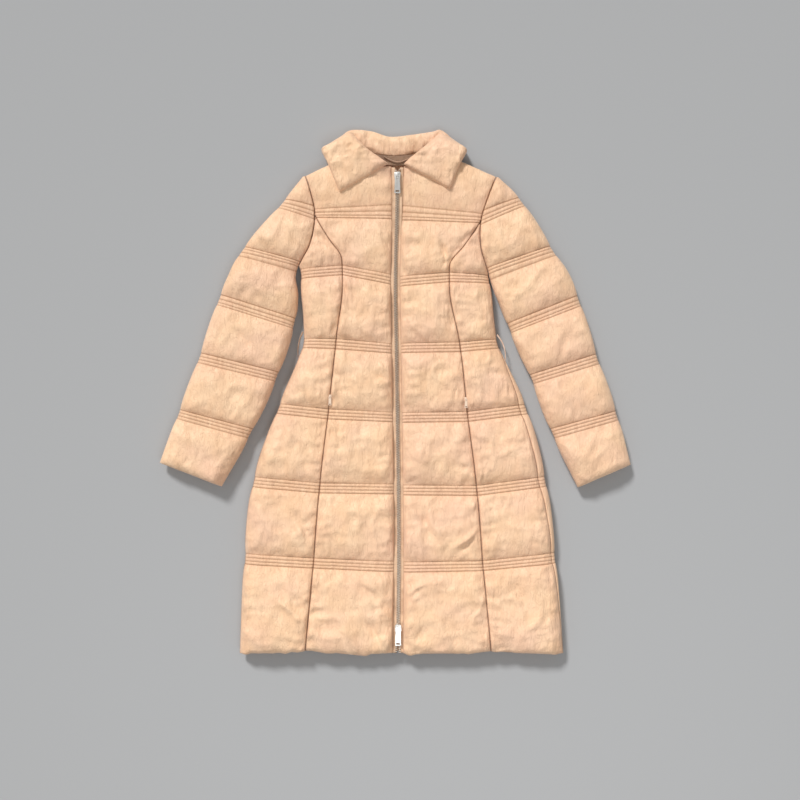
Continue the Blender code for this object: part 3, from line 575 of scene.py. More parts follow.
def front_panel(side, part, seed):
    """A front's "centre" panel, beside the zip, or its "side" panel."""
    centre = part == "centre"
    t = BODY_ROWS if centre else BODY_ROWS[BODY_ROWS < SIDE_TOP]
    share, tuck, stitch, away = block_of_rows(t, body_lengths(), BODY_BANDED)
    inset = wrap(side, t)
    if centre:
        a, b = zip_edge(side, t), princess(side, t)
        overlap = ZIP_OVERLAP if side == RIGHT else -ZIP_OVERLAP
        a[:, 0] += overlap * np.clip((NECK - 0.1 - t) / 0.2, 0, 1)
    else:
        a, b = princess(side, t), side_line(side, t)
        swell = np.where(t < UNDERARM_ROW, bulge(share), 0.0)
        b = b + direction(a, b) * (swell - inset)[:, None]
    run = direction(a, b)
    a, b = a + run * SEAM_GAP / 2, b - run * SEAM_GAP / 2
    plan, d_a, d_b = column_grid(a, b, spread_shares(CENTRE_COLUMNS if centre else SIDE_COLUMNS))
    plan[..., 1] += hem_wave(plan[..., 0], t)
    full = loft_height(t) * rise((t - HEM) * HEM_BLOCK, HEM_EDGE)
    if centre:
        full = full * np.where(t > NECK, rise((SHOULDER - t) * SHOULDER_RUN, SHOULDER_EDGE), 1.0)
        seam_side = np.where((t < CHEST)[:, None], rise(d_b, SEAM_EDGE), rise(d_b, ARMHOLE_EDGE))
        fall = rise(d_a, ZIP_EDGE) * seam_side
        seam = seam_layer(d_b)
    else:
        up = np.clip((t - UNDERARM_ROW) / 0.2, 0, 1)[:, None]
        side_share = ARMHOLE_EDGE.share * up
        outer = side_share + (1 - side_share) * rise(d_b + inset[:, None], SIDE_EDGE)
        fall = rise(d_a, SEAM_EDGE) * outer * np.where(inset[:, None] > 3, rise(d_b, TURNED_EDGE), 1)
        seam = seam_layer(d_a, d_b)
    height = full[:, None] * share[:, None] * fall + tuck[:, None] * tuck_share(fall)
    crown = np.clip(fall, 0, 1) * np.clip(full / 20, 0.4, 1)[:, None]
    bumps = relief(plan, away, d_a, d_b, seed) * crown
    points = close_under(with_height(plan, FLOOR + np.maximum(height + bumps, LEAST_RISE)), FLOOR)
    # painted shade: the hollow layer darkens the cloth near the panel's edges and the quilting bands
    hollow = np.clip(1 - np.minimum(np.minimum(d_a, d_b), away[:, None]) / PAINTED_SHADE_REACH, 0, 1)
    return grid_object(f"shell_front_{part}_{side}", points, stitch=stitch[:, None], seam=seam, hollow=hollow)


def turned_edge(b, run, t, share):
    """Rings that carry the left back round the side and up on to the front, where it shows."""
    inset = wrap(LEFT, t)
    full = loft_height(t) * share * rise((t - HEM) * HEM_BLOCK, HEM_EDGE)
    rings = []
    for f in np.linspace(0.04, 1.0, 9):
        d = inset * f
        p = b - run * d[:, None]
        z = FLOOR + full * rise(d, SIDE_EDGE) * np.where(inset > 3, rise(inset - d, TURNED_EDGE), 1)
        z = np.where(inset > 0.5, z, MIDDLE)
        y = p[:, 1] + hem_wave(p[:, :1], t)[:, 0]
        rings.append(np.stack([p[:, 0], y, np.maximum(z, MIDDLE)], 1)[:, None])
    close = rings[-1].copy()
    close[..., 2] = np.where(inset > 0.5, CEILING, MIDDLE)[:, None]
    return rings + [close]


def back_panel(part, side, seed):
    """The back's "centre" panel, or one of its "side" panels."""
    centre = part == "centre"
    t = BODY_ROWS[::2] if centre else BODY_ROWS[BODY_ROWS < SIDE_TOP]
    share, _, stitch, away = block_of_rows(t, body_lengths(), BODY_BANDED)
    groove = GROOVE * (1 - np.clip(away / GROOVE_REACH, 0, 1)) * (t < CHEST + 0.5)
    hem = rise((t - HEM) * HEM_BLOCK, Edge(0.5, 24.0))
    if centre:
        a, b = princess(RIGHT, t), princess(LEFT, t)
        plan, d_a, d_b = column_grid(a, b, spread_shares(BACK_COLUMNS))
        top = np.where(t > NECK, rise((SHOULDER - t) * SHOULDER_RUN, Edge(0.2, 26.0)), 1.0)
        share_up = np.maximum(0.0, (t - CHEST) / (SHOULDER - CHEST))[:, None]
        plan[..., 1] += share_up ** 1.5 * np.maximum(0.0, back_top_line(plan[..., 0]) - plan[..., 1])
        fall = (hem * top)[:, None] * np.ones_like(d_a)
        nearest_seam = np.minimum(d_a, d_b)
    else:
        a, b = princess(side, t), side_line(side, t)
        run = direction(a, b)
        b = b + run * np.where(t < UNDERARM_ROW, bulge(share), 0.0)[:, None]
        plan, d_a, d_b = column_grid(a, b, spread_shares(SIDE_COLUMNS))
        up = np.clip((t - UNDERARM_ROW) / 0.2, 0, 1)[:, None]
        fall = hem[:, None] * (up + (1 - up) * rise(d_b, UNDER_EDGE))
        nearest_seam = d_a
    plan[..., 1] += hem_wave(plan[..., 0], t)
    seam_dip = 2.4 * (1 - rise(nearest_seam, Edge(0.0, 10.0)))
    uneven = np.abs(crumple(plan[..., 0], plan[..., 1], seed)) * 0.5
    under = MIDDLE - (MIDDLE - groove[:, None] - seam_dip - uneven) * fall
    lower = with_height(plan, np.minimum(under, CEILING - LEAST_RISE))
    points = close_under(lower, CEILING)
    if not centre and side == LEFT:
        above_seam = points[:, -2:-1]
        points = joined(lower, np.concatenate([*turned_edge(b, run, t, share), above_seam], axis=1))
    name = "shell_back_centre" if centre else f"shell_back_side_{side}"
    return grid_object(name, points, stitch=stitch[:, None])


def sleeve_edges(side, t):
    """The sleeve's outer and inner edges. The inner one follows the armhole down to the underarm."""
    table = SLEEVE[side]
    outer = along([(r.outer_x, r.outer_y) for r in table], t)
    inner = along([(r.inner_x, r.inner_y) for r in table], t)
    inner = choose(t <= 1.0, armhole(side, 2.0 * np.clip(t, 0, 1)), inner)
    middle = (t > 1.0) & (t <= 2.0)
    inner = choose(middle, armhole(side, 2.0 + 2.0 * (np.clip(t, 1, 2) - 1.0)), inner)
    step = np.clip((t - 2.0) / 0.25, 0, 1)[:, None]
    leaving = armhole(side, np.full(len(t), 4.0)) * (1 - step) + inner * step
    return outer, choose((t > 2.0) & (t < 2.25), leaving, inner)


def sleeve_half(side, upper, seed):
    """The upper or the under half of a sleeve, between its outer and inner folds."""
    table = SLEEVE[side]
    mid = [((r.outer_x + r.inner_x) / 2, (r.outer_y + r.inner_y) / 2) for r in table]
    lengths = [math.dist(a, b) for a, b in zip(mid, mid[1:])]
    banded = [r.banded for r in table]
    # the two blocks that meet at the upper arm are one block, with no band between them
    merged = lengths[:2] + [lengths[2] + lengths[3]] + lengths[4:]
    merged_banded = banded[:3] + banded[4:]
    rows = row_positions(merged, merged_banded)
    t = rows.copy()
    split = lengths[2] / merged[2]
    inside = (rows > 2) & (rows <= 3)
    f = rows - 2
    t[inside] = np.where(f[inside] < split, 2 + f[inside] / split, 3 + (f[inside] - split) / (1 - split))
    t[rows > 3] = rows[rows > 3] + 1
    share, tuck, stitch, away = block_of_rows(rows, merged, merged_banded)
    outer, inner = sleeve_edges(side, t)
    run = direction(outer, inner)
    outer = outer - run * (bulge(share) * np.clip(t, 0, 1))[:, None]
    below = np.clip((t - 2.2) / 0.4, 0, 1)
    inner = inner + run * (bulge(share) * below - 0.4 * (1 - below))[:, None]
    plan, d_out, d_in = column_grid(outer, inner, spread_shares(SLEEVE_COLUMNS))
    sewn = (1.0 - np.clip((t - 1.6) / 0.4, 0.0, 1.0))[:, None]
    last = len(table) - 1
    at_cuff = rise((last - t) * lengths[-1], Edge(0.35, 18.0))[:, None]
    width = np.linalg.norm(inner - outer, axis=1)
    narrow = np.minimum(1.0, width / 60.0)[:, None] ** 0.5
    axis = np.array(mid[-1]) - np.array(mid[2])
    axis = axis / np.linalg.norm(axis)
    local = np.stack([plan @ np.array([-axis[1], axis[0]]), plan @ axis], -1)
    free = (1 - np.exp(-away / BAND_FADE))[:, None]
    away_band = away[:, None] + 0 * d_out
    uneven = crumple(local[..., 0], local[..., 1], seed) * (0.25 + 0.75 * free)
    uneven = uneven + 2.2 * free * puckers(local[..., 0], away_band, reach=15, pitch=11, seed=seed + 3)
    uneven = uneven + 2.6 * free * puckers(local[..., 1], d_in, reach=14, pitch=13, seed=seed + 5)
    uneven = uneven + creases(plan[..., 0], plan[..., 1]) * free
    if upper:
        inner_share = ARMHOLE_EDGE.share * sewn
        fall = rise(d_out, Edge(0.0, 36.0)) * (inner_share + (1 - inner_share) * rise(d_in, Edge(0.0, 30.0)))
        height = SLEEVE_LOFT * share[:, None] * fall * narrow * at_cuff
        height = height + tuck[:, None] * tuck_share(fall)
        z = FLOOR + np.maximum(height + uneven * np.clip(fall, 0, 1) * narrow, LEAST_RISE)
        seam = seam_layer(d_in) * sewn
        # painted shade: the hollow layer darkens the sleeve near its inner seam and the quilting bands
        hollow = np.clip(1 - np.minimum(d_in, away[:, None]) / PAINTED_SHADE_REACH, 0, 1)
        name, points = f"shell_sleeve_top_{side}", close_under(with_height(plan, z), FLOOR)
        return grid_object(name, points, stitch=stitch[:, None], seam=seam, hollow=hollow)
    base = GROOVE * (1 - np.clip(away / GROOVE_REACH, 0, 1))[:, None] + MIDDLE * 0.5 * (1.0 - narrow)
    fall = rise(d_out, UNDER_EDGE) * (sewn + (1 - sewn) * rise(d_in, UNDER_EDGE)) * at_cuff
    z = MIDDLE - (MIDDLE - base - 0.5 * np.abs(uneven)) * fall
    points = close_under(with_height(plan, np.minimum(z, CEILING - LEAST_RISE)), CEILING)
    return grid_object(f"shell_sleeve_under_{side}", points, stitch=stitch[:, None])


# ---------------------------------------------------------------- collar
def leaf(side, seed):
    """One leaf, from the roll line at the neck out to its edge."""
    rows = COLLAR[side]
    last = len(rows) - 1
    t = np.linspace(0, last, LEAF_ROWS)
    roll = along([(r.roll_x, r.roll_y) for r in rows], t)
    edge = along([(r.edge_x, r.edge_y) for r in rows], t)
    top, foot = along([(r.top, r.foot) for r in rows], t).T
    plan, d_roll, d_edge = column_grid(roll, edge, spread_shares(LEAF_COLUMNS))
    d_front = (t / last * 80)[:, None]
    d_back = ((1 - t / last) * 60)[:, None]
    round_off = rise(d_roll, Edge(0.25, 14.0)) * rise(d_edge, Edge(0.15, 9.0))
    round_off = round_off * rise(d_front, Edge(0.2, 8.0)) * rise(d_back, Edge(0.2, 16.0))
    run = t[:, None] * 20
    uneven = 0.9 * crumple(plan[..., 0], plan[..., 1], seed)
    uneven = uneven + 3.0 * puckers(run, d_edge, reach=11, pitch=9, seed=seed + 4)
    uneven = uneven + 4.6 * puckers(run, d_roll, reach=20, pitch=13, seed=seed + 6)
    z = foot[:, None] + (top - foot)[:, None] * round_off + uneven * round_off
    upper = with_height(plan, z)
    under = with_height(plan, foot[:, None] + 0 * z)[:, ::-1]
    # painted shade: darker near the leaf's outer edge and front end, and most along its roll line
    hollow = np.clip(1 - np.minimum(d_edge, d_front) / 12, 0, 1)
    hollow = np.maximum(hollow, 1.4 * np.clip(1 - d_roll / 13, 0, 1))
    layer = joined(hollow, 0 * hollow)
    return grid_object(f"collar_leaf_{side}", joined(upper, under), hollow=layer)


def stand():
    """The folded stand behind the neck."""
    last = len(STAND) - 1
    t = np.linspace(0, last, STAND_ROWS)
    x, roll_y = along([(r.x, r.roll_y) for r in STAND], t).T
    seam_y = np.maximum(back_top_line(x) + 0.6, roll_y - 55.0)
    seam, roll = np.stack([x, seam_y], 1), np.stack([x, roll_y], 1)
    plan, d_seam, d_roll = column_grid(seam, roll, spread_shares(STAND_COLUMNS))
    sag = 6.0 * rise(d_seam, Edge(0.0, 16.0)) * rise(d_roll, Edge(0.2, 14.0))
    fold = 4.4 * puckers(plan[..., 0], d_seam, reach=30, pitch=12, seed=71)
    fold = fold + crumple(plan[..., 0], plan[..., 1], 73)
    z = 11.0 + sag + fold * rise(d_roll, Edge(0.2, 10.0))
    ends = rise(np.minimum(t, last - t) * 30, Edge(0.5, 14.0))[:, None]
    upper = with_height(plan, z * ends)
    under = with_height(plan, np.full_like(z, 0.3))[:, ::-1]
    # painted shade: the whole stand is drawn darker, most near its seam at the neck
    hollow = 0.35 + 1.2 * np.clip(1 - d_seam / 30, 0, 1)
    return grid_object("collar_stand", joined(upper, under), hollow=joined(hollow, 0 * hollow))


# ---------------------------------------------------------------- narrow things
def sweep(name, path, section, twist=0.0):
    """A closed tube: a section of (across, up) points carried along a path of points."""
    path = np.asarray(path, float)
    way = np.gradient(path, axis=0)
    way /= np.linalg.norm(way, axis=1)[:, None]
    across = np.cross(way, [0.0, 0.0, 1.0])
    across /= np.linalg.norm(across, axis=1)[:, None]
    up = np.cross(across, way)
    ring = np.asarray(section, float)
    ring = np.vstack([ring, ring[:1]])
    turn = np.linspace(0, twist, len(path))[:, None]
    c, s = np.cos(turn), np.sin(turn)
    u = ring[None, :, 0] * c - ring[None, :, 1] * s
    v = ring[None, :, 0] * s + ring[None, :, 1] * c
    points = path[:, None] + across[:, None] * u[..., None] + up[:, None] * v[..., None]
    return grid_object(name, points)


def circle(radius, flat=1.0, count=10):
    turn = [2 * math.pi * k / count for k in range(count)]
    return [(radius * math.cos(a), radius * flat * math.sin(a)) for a in turn]


def zip_sides(y):
    """The two front edges beside the zip at heights y."""
    t = np.linspace(0, NECK, 800)
    found = []
    for side in (RIGHT, LEFT):
        line = zip_edge(side, t)
        found.append(np.interp(y, line[:, 1], line[:, 0]))
    return found


def spread(y):
    """How far each side of the zip stands from its middle, beyond the sliders."""
    return TOP_SPREAD * np.maximum(0.0, y - MESHED_TOP) + BOTTOM_SPREAD * np.maximum(0.0, MESHED_BOTTOM - y)


def tape(side):
    """The strip of tape that shows, with painted shade along its stitched edge and beside the teeth."""
    y = np.linspace(ZIP_END, ZIP_TOP, 240)
    right, left = zip_sides(y)
    way = -1 if side == RIGHT else 1
    centre = (right + left) / 2
    inner = centre + way * (SEAM_GAP + spread(y))
    outer = (right if side == RIGHT else left) - way * SEAM_GAP
    f = np.array([0, 0.12, 0.25, 0.5, 0.75, 0.88, 0.96, 1.0])[None]
    x = inner[:, None] + (outer - inner)[:, None] * f
    z = TAPE_Z + TAPE_THICK + 0.25 * np.sin(y / 19)[:, None] * f - 0.2 * f ** 4
    upper = np.stack([x, y[:, None] + 0 * x, z], -1)
    under = upper[:, ::-1].copy()
    under[..., 2] -= 0.9
    # painted shade: the stitch layer darkens the tape at its outer edge and beside the teeth
    line = np.repeat(np.maximum(f ** 6, (1 - f) ** 8), len(y), axis=0)
    return grid_object(f"tape_{side}", joined(upper, under), stitch=joined(line, line[:, ::-1]))


def teeth(side):
    """One row of cast teeth, each a rounded bar whose narrow end meets its neighbours."""
    way = -1 if side == RIGHT else 1
    bm = bmesh.new()
    y = ZIP_END + 2.0 + (TOOTH_PITCH / 2 if side == RIGHT else 0.0)
    while y < ZIP_TOP - 3.0:
        right, left = zip_sides(np.array([y]))
        centre = float((right[0] + left[0]) / 2)
        inner = centre - way * TOOTH_OVERLAP + way * float(spread(np.array([y]))[0])
        for v in bmesh.ops.create_cube(bm, size=1.0)["verts"]:
            inside = v.co.x * way < 0
            wide, thick = (1.15, TOOTH_THICK - 0.3) if inside else (1.9, TOOTH_THICK - 0.9)
            v.co.x = inner if inside else inner + way * TOOTH_WIDTH
            v.co.y = y + v.co.y * wide
            v.co.z = TAPE_Z + TAPE_THICK + 0.4 + (v.co.z + 0.5) * thick
        y += TOOTH_PITCH
    bmesh.ops.scale(bm, vec=Vector((MM, MM, MM)), verts=bm.verts)
    bmesh.ops.bevel(bm, geom=bm.edges[:], offset=TOOTH_BEVEL * MM, affect="EDGES", segments=1,
                    profile=0.5, material=-1)
    bmesh.ops.recalc_face_normals(bm, faces=bm.faces)
    return mesh_object(f"teeth_{side}", bm)


def neck_inside():
    """The patch of lining that shows in the neck opening."""
    x = np.linspace(-NECK_HALF, NECK_HALF, 90)
    t = np.linspace(NECK, SHOULDER, 200)
    near = np.empty_like(x)
    for side, mask in ((RIGHT, x < 0), (LEFT, x >= 0)):
        line = zip_edge(side, t)
        near[mask] = np.interp(np.abs(x[mask]), np.abs(line[:, 0]), line[:, 1])
    near = np.maximum(near, ZIP_TOP) + 3.0
    far = back_top_line(x) - 0.3
    f = np.linspace(0, 1, 14)[None]
    y = near[:, None] + (far - near)[:, None] * f
    x = x[:, None] + 0 * y
    z = LINING_TOP + 0.5 * noise(x / 9, y / 7, 91) + 0.4 * noise(x / 4, y / 12, 92)
    upper = np.stack([x, y, z], -1)
    under = upper[:, ::-1].copy()
    under[..., 2] = LINING_TOP - 1.0
    return grid_object("neck_lining", joined(upper, under))


def hanger():
    """Two cords twisted round each other, sewn in at both ends."""
    f = np.linspace(0, 1, 120)
    x = HANGER_LEFT + HANGER_SPAN * f
    y = back_top_line(np.array([0.0]))[0] - 2.5 - HANGER_SAG * np.sin(math.pi * f)
    made = []
    for k in range(2):
        turn = 2 * math.pi * HANGER_TURNS * f + math.pi * k
        path = np.stack([x, y + 0.85 * np.cos(turn), HANGER_Z + 0.85 * np.sin(turn)], 1)
        made.append(sweep(f"hanger_strand_{k}", path, circle(0.95)))
    return made


Strand = namedtuple("Strand", "row out")
BELT_LOOP = {
    RIGHT: [Strand(4.17, 2.6), Strand(4.06, 7.4), Strand(3.92, 7.6), Strand(3.78, 2.6)],
    LEFT: [Strand(4.14, 2.6), Strand(4.02, 9.0), Strand(3.88, 9.0), Strand(3.74, 2.8)],
}


def belt_loop(side):
    """A flat strip that stands out from the side seam at the waist and twists as it goes."""
    rows = BELT_LOOP[side]
    values = along([(r.row, r.out) for r in rows], np.linspace(0, len(rows) - 1, 60))
    line = side_line(side, values[:, 0])
    way = -1 if side == RIGHT else 1
    path = np.stack([line[:, 0] + way * values[:, 1], line[:, 1], MIDDLE + 0 * values[:, 0]], 1)
    return sweep(f"belt_strip_{side}", path, circle(1.5, flat=0.55), twist=1.4)


def pocket_coil(side):
    """The fine coil of a pocket zip, sunk in the princess seam."""
    t = np.linspace(POCKET_BOTTOM, POCKET_TOP, 130)
    share = block_of_rows(t, body_lengths(), BODY_BANDED)[0]
    top = MIDDLE + loft_height(t) * share * SEAM_EDGE.share - 0.8
    bm = bmesh.new()
    for (x, y), z in zip(princess(side, t), top):
        place = Matrix.Translation((x, y, z - 1.0)) @ Matrix.Diagonal((1.9, 0.7, 1.4, 1))
        bmesh.ops.create_cube(bm, size=1.0, matrix=place)
    bmesh.ops.scale(bm, vec=Vector((MM, MM, MM)), verts=bm.verts)
    return mesh_object(f"pocket_coil_{side}", bm)


# ---------------------------------------------------------------- sliders and pulls
def refined(node, body, material, width):
    """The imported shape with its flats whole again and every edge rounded."""
    piece = linked(f"polished_{node}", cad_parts[node].data.copy())
    bm = bmesh.new()
    bm.from_mesh(piece.data)
    bmesh.ops.remove_doubles(bm, verts=bm.verts, dist=0.002 * MM)
    bmesh.ops.dissolve_limit(bm, angle_limit=math.radians(2), verts=bm.verts, edges=bm.edges)
    bm.to_mesh(piece.data)
    bm.free()
    soften = piece.modifiers.new("soften", "BEVEL")
    soften.width, soften.segments, soften.limit_method = width * MM, 3, "ANGLE"
    graph = bpy.context.evaluated_depsgraph_get()
    mesh = bpy.data.meshes.new_from_object(piece.evaluated_get(graph))
    piece.modifiers.clear()
    piece.data = mesh
    mesh.shade_smooth()
    mesh.set_sharp_from_angle(angle=math.radians(50))
    return finish_piece(piece, node, material, body)


# ---------------------------------------------------------------- finishes
class Signal:
    """A shader value that adds its own Math nodes when it is used in an expression."""

    def __init__(self, tree, socket):
        self.tree, self.socket = tree, socket

    def math(self, operation, *values):
        node = self.tree.nodes.new("ShaderNodeMath")
        node.operation = operation
        for slot, value in zip(node.inputs, values):
            if isinstance(value, Signal):
                self.tree.links.new(value.socket, slot)
            else:
                slot.default_value = value
        return Signal(self.tree, node.outputs[0])

    def __add__(self, other):
        return self.math("ADD", self, other)

    def __sub__(self, other):
        return self.math("SUBTRACT", self, other)

    def size(self):
        return self.math("ABSOLUTE", self)

    def __rsub__(self, other):
        return self.math("SUBTRACT", other, self)

    def __mul__(self, other):
        return self.math("MULTIPLY", self, other)

    __radd__, __rmul__ = __add__, __mul__


class Finish:
    """A Principled material and the nodes that drive it."""

    def __init__(self, name, colour, roughness, metallic=0.0, **constants):
        self.material = bpy.data.materials.new(name)
        self.material.use_nodes = True
        self.tree = self.material.node_tree
        self.shader = self.tree.nodes["Principled BSDF"]
        constants |= {"Base_Color": (*colour, 1.0), "Roughness": roughness, "Metallic": metallic}
        for socket, value in constants.items():
            self.shader.inputs[socket.replace("_", " ")].default_value = value

    def node(self, kind, settings=None, **sockets):
        made = self.tree.nodes.new(kind)
        for name, value in (settings or {}).items():
            setattr(made, name, value)
        for name, value in sockets.items():
            slot = made.inputs[name.replace("_", " ")]
            if isinstance(value, Signal):
                self.tree.links.new(value.socket, slot)
            else:
                slot.default_value = value
        return made

    def out(self, node, name):
        return Signal(self.tree, node.outputs[name])

    def spots(self, scale, detail=2.0, distortion=0.0, turn=0.0):
        """Noise with scale spots to the metre along each axis, turned about Z."""
        where = self.out(self.node("ShaderNodeTexCoord"), "Object")
        place = self.node("ShaderNodeMapping", Vector=where, Rotation=(0, 0, turn), Scale=scale)
        vector = self.out(place, "Vector")
        made = self.node("ShaderNodeTexNoise", Vector=vector, Scale=1.0, Detail=detail, Distortion=distortion)
        return self.out(made, "Fac")

    def layer(self, name):
        return self.out(self.node("ShaderNodeAttribute", {"attribute_name": name}), "Fac")

    def ramp(self, value, low, high):
        """0 where value is low, 1 where it is high."""
        return self.out(self.node("ShaderNodeMapRange", Value=value, From_Min=low, From_Max=high), "Result")

    def mix(self, factor, a, b):
        """The colour a where factor is 0 and b where it is 1."""
        made = self.node("ShaderNodeMix", {"data_type": "RGBA"})
        for index, value in ((0, factor), (6, a), (7, b)):
            if isinstance(value, Signal):
                self.tree.links.new(value.socket, made.inputs[index])
            else:
                made.inputs[index].default_value = value if index == 0 else (*value, 1.0)
        return Signal(self.tree, made.outputs[2])

    def feed(self, socket, value):
        self.tree.links.new(value.socket, self.shader.inputs[socket])

    def bump(self, height, distance, strength=1.0):
        made = self.node("ShaderNodeBump", Height=height, Distance=distance, Strength=strength)
        self.feed("Normal", self.out(made, "Normal"))


PEACH = (0.87, 0.565, 0.345)
PEACH_PALE = (0.95, 0.655, 0.42)
PEACH_PINK = (0.86, 0.545, 0.40)
# brown of stitched lines and seams: partly the stitching itself, mostly painted shade in their grooves
SEAM_SHADE_BROWN = (0.30, 0.12, 0.045)
# painted shade in hollows, thin creases and on the stand; also the darker tint of slub streaks
SHADE_AND_SLUB_TAN = (0.70, 0.40, 0.25)


def shell_cloth(name, turn=0.0):
    """Crinkled cloth with slubs along its length, with painted shade in its seams, stitch lines, thin creases
    and hollows.
    """
    f = Finish(name, PEACH, 0.5, Sheen_Weight=0.2, Sheen_Roughness=0.5, Specular_IOR_Level=0.3)
    slub = f.spots((520, 46, 520), 3.0, turn=turn)
    crinkle = f.spots((210, 60, 210), 4.0, 0.6, turn)
    weave = f.spots((1500, 1500, 1500), 1.0, turn=turn)
    mottle = f.spots((26, 20, 26), 4.0, 0.6, turn)
    tint = f.spots((9, 11, 9), 2.0, turn=turn)
    # thin creases lie where a stretched noise crosses its middle value
    wide = 1 - f.ramp((f.spots((62, 34, 62), 3.0, 1.2, turn) - 0.5).size(), 0.0, 0.035)
    fine = 1 - f.ramp((f.spots((150, 64, 150), 3.0, 0.8, turn) - 0.5).size(), 0.0, 0.05)
    colour = f.mix(f.ramp(mottle, 0.36, 0.66), PEACH, PEACH_PALE)
    colour = f.mix(f.ramp(tint, 0.42, 0.7) * 0.5, colour, PEACH_PINK)
    colour = f.mix(f.ramp(slub, 0.5, 0.8) * 0.2, colour, SHADE_AND_SLUB_TAN)
    # painted shade in the thin creases
    colour = f.mix((wide * 0.14 + fine * 0.08) * f.ramp(mottle, 0.3, 0.6), colour, SHADE_AND_SLUB_TAN)
    # painted shade near seams and bands, from the hollow layer
    colour = f.mix(f.layer("hollow") * f.ramp(crinkle, 0.25, 0.65) * 0.5, colour, SHADE_AND_SLUB_TAN)
    # stitched lines and seams: partly their own brown, mostly painted shade in their grooves
    colour = f.mix(f.layer("stitch") * f.ramp(crinkle, 0.0, 0.4) * 0.92, colour, SEAM_SHADE_BROWN)
    colour = f.mix(f.layer("seam") * f.ramp(crinkle, 0.2, 0.5) * 0.85, colour, SEAM_SHADE_BROWN)
    f.feed("Base Color", colour)
    f.feed("Roughness", f.ramp(crinkle, 0.2, 0.8) * 0.16 + 0.42)
    f.bump(crinkle * 1.2 + slub * 0.8 + weave * 0.12 - wide * 0.30 - fine * 0.20, 0.0012, 0.9)
    return f.material


def plain_cloth(name, colour, fold_shade, ribs=1400):
    """Ribbed cloth for narrow things and linings, with painted shade in its folds and along its stitch layer.
    """
    f = Finish(name, colour, 0.7, Sheen_Weight=0.2)
    rib = f.spots((ribs, ribs * 0.5, ribs), 2.0)
    fold = f.spots((60, 60, 60), 3.0)
    # painted shade in the folds, from the fold noise
    fold_shaded = f.mix(f.ramp(fold, 0.3, 0.7) * 0.7, colour, fold_shade)
    # painted shade along the stitch layer: the tape's outer edge and the line beside its teeth
    f.feed("Base Color", f.mix(f.layer("stitch") * 0.85, fold_shaded, SEAM_SHADE_BROWN))
    f.bump(rib + fold * 0.6, 0.0005, 0.6)
    return f.material


def metal(name, colour, worn, roughness):
    f = Finish(name, colour, roughness, 1.0)
    scratch = f.spots((900, 60, 900), 3.0)
    blur = f.spots((240, 240, 240), 2.0)
    f.feed("Base Color", f.mix(f.ramp(blur, 0.4, 0.75) * 0.5, colour, worn))
    f.feed("Roughness", f.ramp(scratch, 0.2, 0.8) * 0.16 + (roughness - 0.08))
    f.bump(scratch, 0.00006, 0.5)
    return f.material


def enamel(name, colour, worn):
    f = Finish(name, colour, 0.35)
    wear = f.spots((500, 500, 500), 3.0)
    f.feed("Base Color", f.mix(f.ramp(wear, 0.5, 0.8) * 0.4, colour, worn))
    f.feed("Roughness", f.ramp(wear, 0.3, 0.7) * 0.2 + 0.28)
    return f.material


# ---------------------------------------------------------------- the coat
BODY_CLOTH = shell_cloth("shell_body")
SLEEVE_CLOTH = {
    RIGHT: shell_cloth("shell_sleeve_right", math.radians(22)),
    LEFT: shell_cloth("shell_sleeve_left", math.radians(-21)),
}
LINING = plain_cloth("neck_lining_cloth", colour=(0.34, 0.20, 0.12), fold_shade=(0.18, 0.10, 0.06), ribs=900)
TAPE = plain_cloth("zip_tape_cloth", colour=(0.84, 0.58, 0.38), fold_shade=(0.46, 0.28, 0.17))
TRIM = plain_cloth("trim_cloth", colour=(0.88, 0.66, 0.52), fold_shade=(0.50, 0.30, 0.20))
CORD = plain_cloth("loop_cord_cloth", colour=(0.50, 0.32, 0.21), fold_shade=(0.20, 0.11, 0.07))
TEETH = metal("zip_teeth_metal", colour=(0.80, 0.71, 0.60), worn=(0.52, 0.45, 0.37), roughness=0.45)
STEEL = metal("zip_steel", colour=(0.92, 0.90, 0.86), worn=(0.74, 0.72, 0.69), roughness=0.36)
PALE_METAL = enamel("pocket_zip_enamel", colour=(0.86, 0.66, 0.50), worn=(0.5, 0.42, 0.36))

padded = []
for side, seed in ((RIGHT, 11), (LEFT, 23)):
    cloth = SLEEVE_CLOTH[side]
    padded += [
        finish_piece(front_panel(side, "centre", seed), f"front_centre_{side}", BODY_CLOTH),
        finish_piece(front_panel(side, "side", seed + 3), f"front_side_{side}", BODY_CLOTH),
        finish_piece(back_panel("side", side, seed + 5), f"back_side_{side}", BODY_CLOTH),
        finish_piece(sleeve_half(side, True, seed + 7), f"sleeve_top_{side}", cloth),
        finish_piece(sleeve_half(side, False, seed + 8), f"sleeve_under_{side}", cloth),
    ]
back = finish_piece(back_panel("centre", None, 51), "back_centre", BODY_CLOTH)
padded.append(back)
for piece in (leaf(RIGHT, 61), leaf(LEFT, 67), stand()):
    padded.append(finish_piece(piece, "collar", BODY_CLOTH))

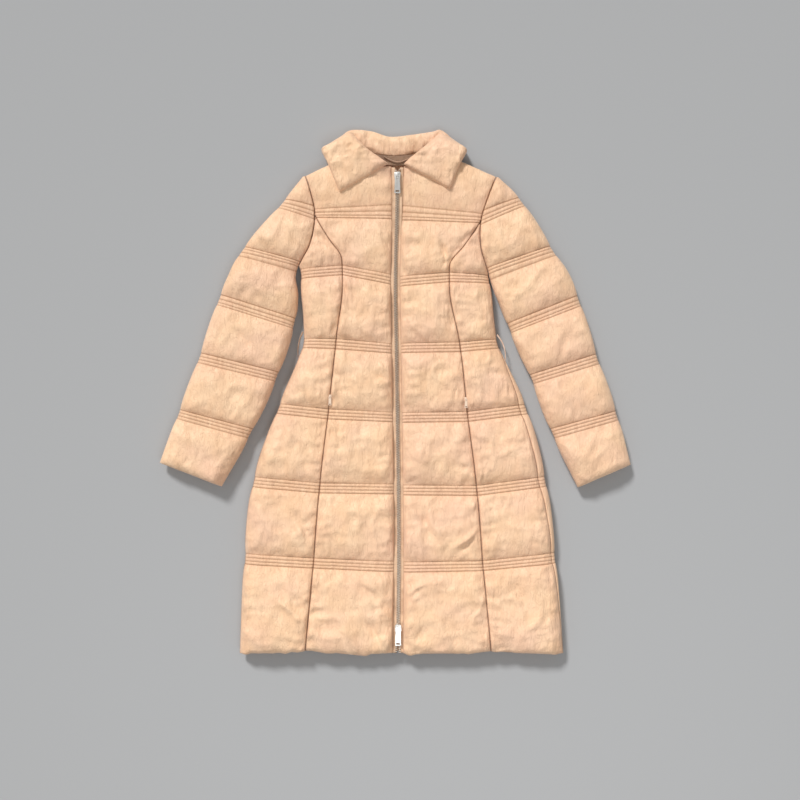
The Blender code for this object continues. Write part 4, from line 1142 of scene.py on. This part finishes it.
for side in (RIGHT, LEFT):
    strip = finish_piece(tape(side), f"zip_tape_{side}", TAPE)
    finish_piece(teeth(side), f"zip_teeth_{side}", TEETH)
    # painted shade: the right belt loop lies pressed in the shade of the side edge and takes the darker cord
    # cloth
    finish_piece(belt_loop(side), f"belt_loop_{side}", CORD if side == RIGHT else TRIM)
    finish_piece(pocket_coil(side), f"pocket_zip_{side}", TAPE)
neck = finish_piece(neck_inside(), "back_neck_inside", LINING)
for piece in hanger():
    finish_piece(piece, "hanger_loop", CORD)

for end in ("top", "bottom"):
    refined(f"zip_slider_{end}", "coat", STEEL, 0.35)
    refined(f"zip_pull_{end}", f"{end}_pull", STEEL, 0.28)
for side in (RIGHT, LEFT):
    refined(f"pocket_slider_{side}", "coat", PALE_METAL, 0.18)
    refined(f"pocket_pull_{side}", f"{side}_pocket_pull", PALE_METAL, 0.15)


# ---------------------------------------------------------------- floor, light and camera
def floor():
    bm = bmesh.new()
    bmesh.ops.create_grid(bm, x_segments=1, y_segments=1, size=6.0)
    made = mesh_object("floor", bm)
    made.data.materials.append(Finish("floor_pale", (0.395, 0.40, 0.405), 0.9).material)


def lamp(name, place, size, power):
    """A round lamp that shines from place on the middle of the coat."""
    light = bpy.data.lights.new(name, "AREA")
    light.shape = "DISK"
    light.size = size
    light.energy = power
    made = linked(name, light)
    made.location = place
    made.rotation_euler = Vector(place).to_track_quat("Z", "Y").to_euler()


def sun(name, towards, strength, spread_degrees):
    """An even light from the direction towards, with soft edges to its shadows."""
    light = bpy.data.lights.new(name, "SUN")
    light.energy = strength
    light.angle = math.radians(spread_degrees)
    linked(name, light).rotation_euler = Vector(towards).to_track_quat("Z", "Y").to_euler()


def studio(colour, strength):
    """Soft light from all round."""
    world = bpy.data.worlds.new("studio")
    world.use_nodes = True
    background = world.node_tree.nodes["Background"]
    background.inputs["Color"].default_value = (*colour, 1.0)
    background.inputs["Strength"].default_value = strength
    bpy.context.scene.world = world


def camera(place):
    data = bpy.data.cameras.new("camera")
    data.lens = 50.0
    data.sensor_width = 36.0
    made = linked("camera", data)
    made.location = place
    bpy.context.scene.camera = made


floor()
bpy.context.scene.view_settings.view_transform = "Standard"
sun("key", towards=(-0.5, 1.0, 0.86), strength=2.85, spread_degrees=11.0)
lamp("overhead", place=(0.2, -1.1, 2.1), size=1.2, power=11.0)
studio(colour=(1.0, 0.99, 0.98), strength=0.40)
camera(place=(0.006, -0.017, 2.228))
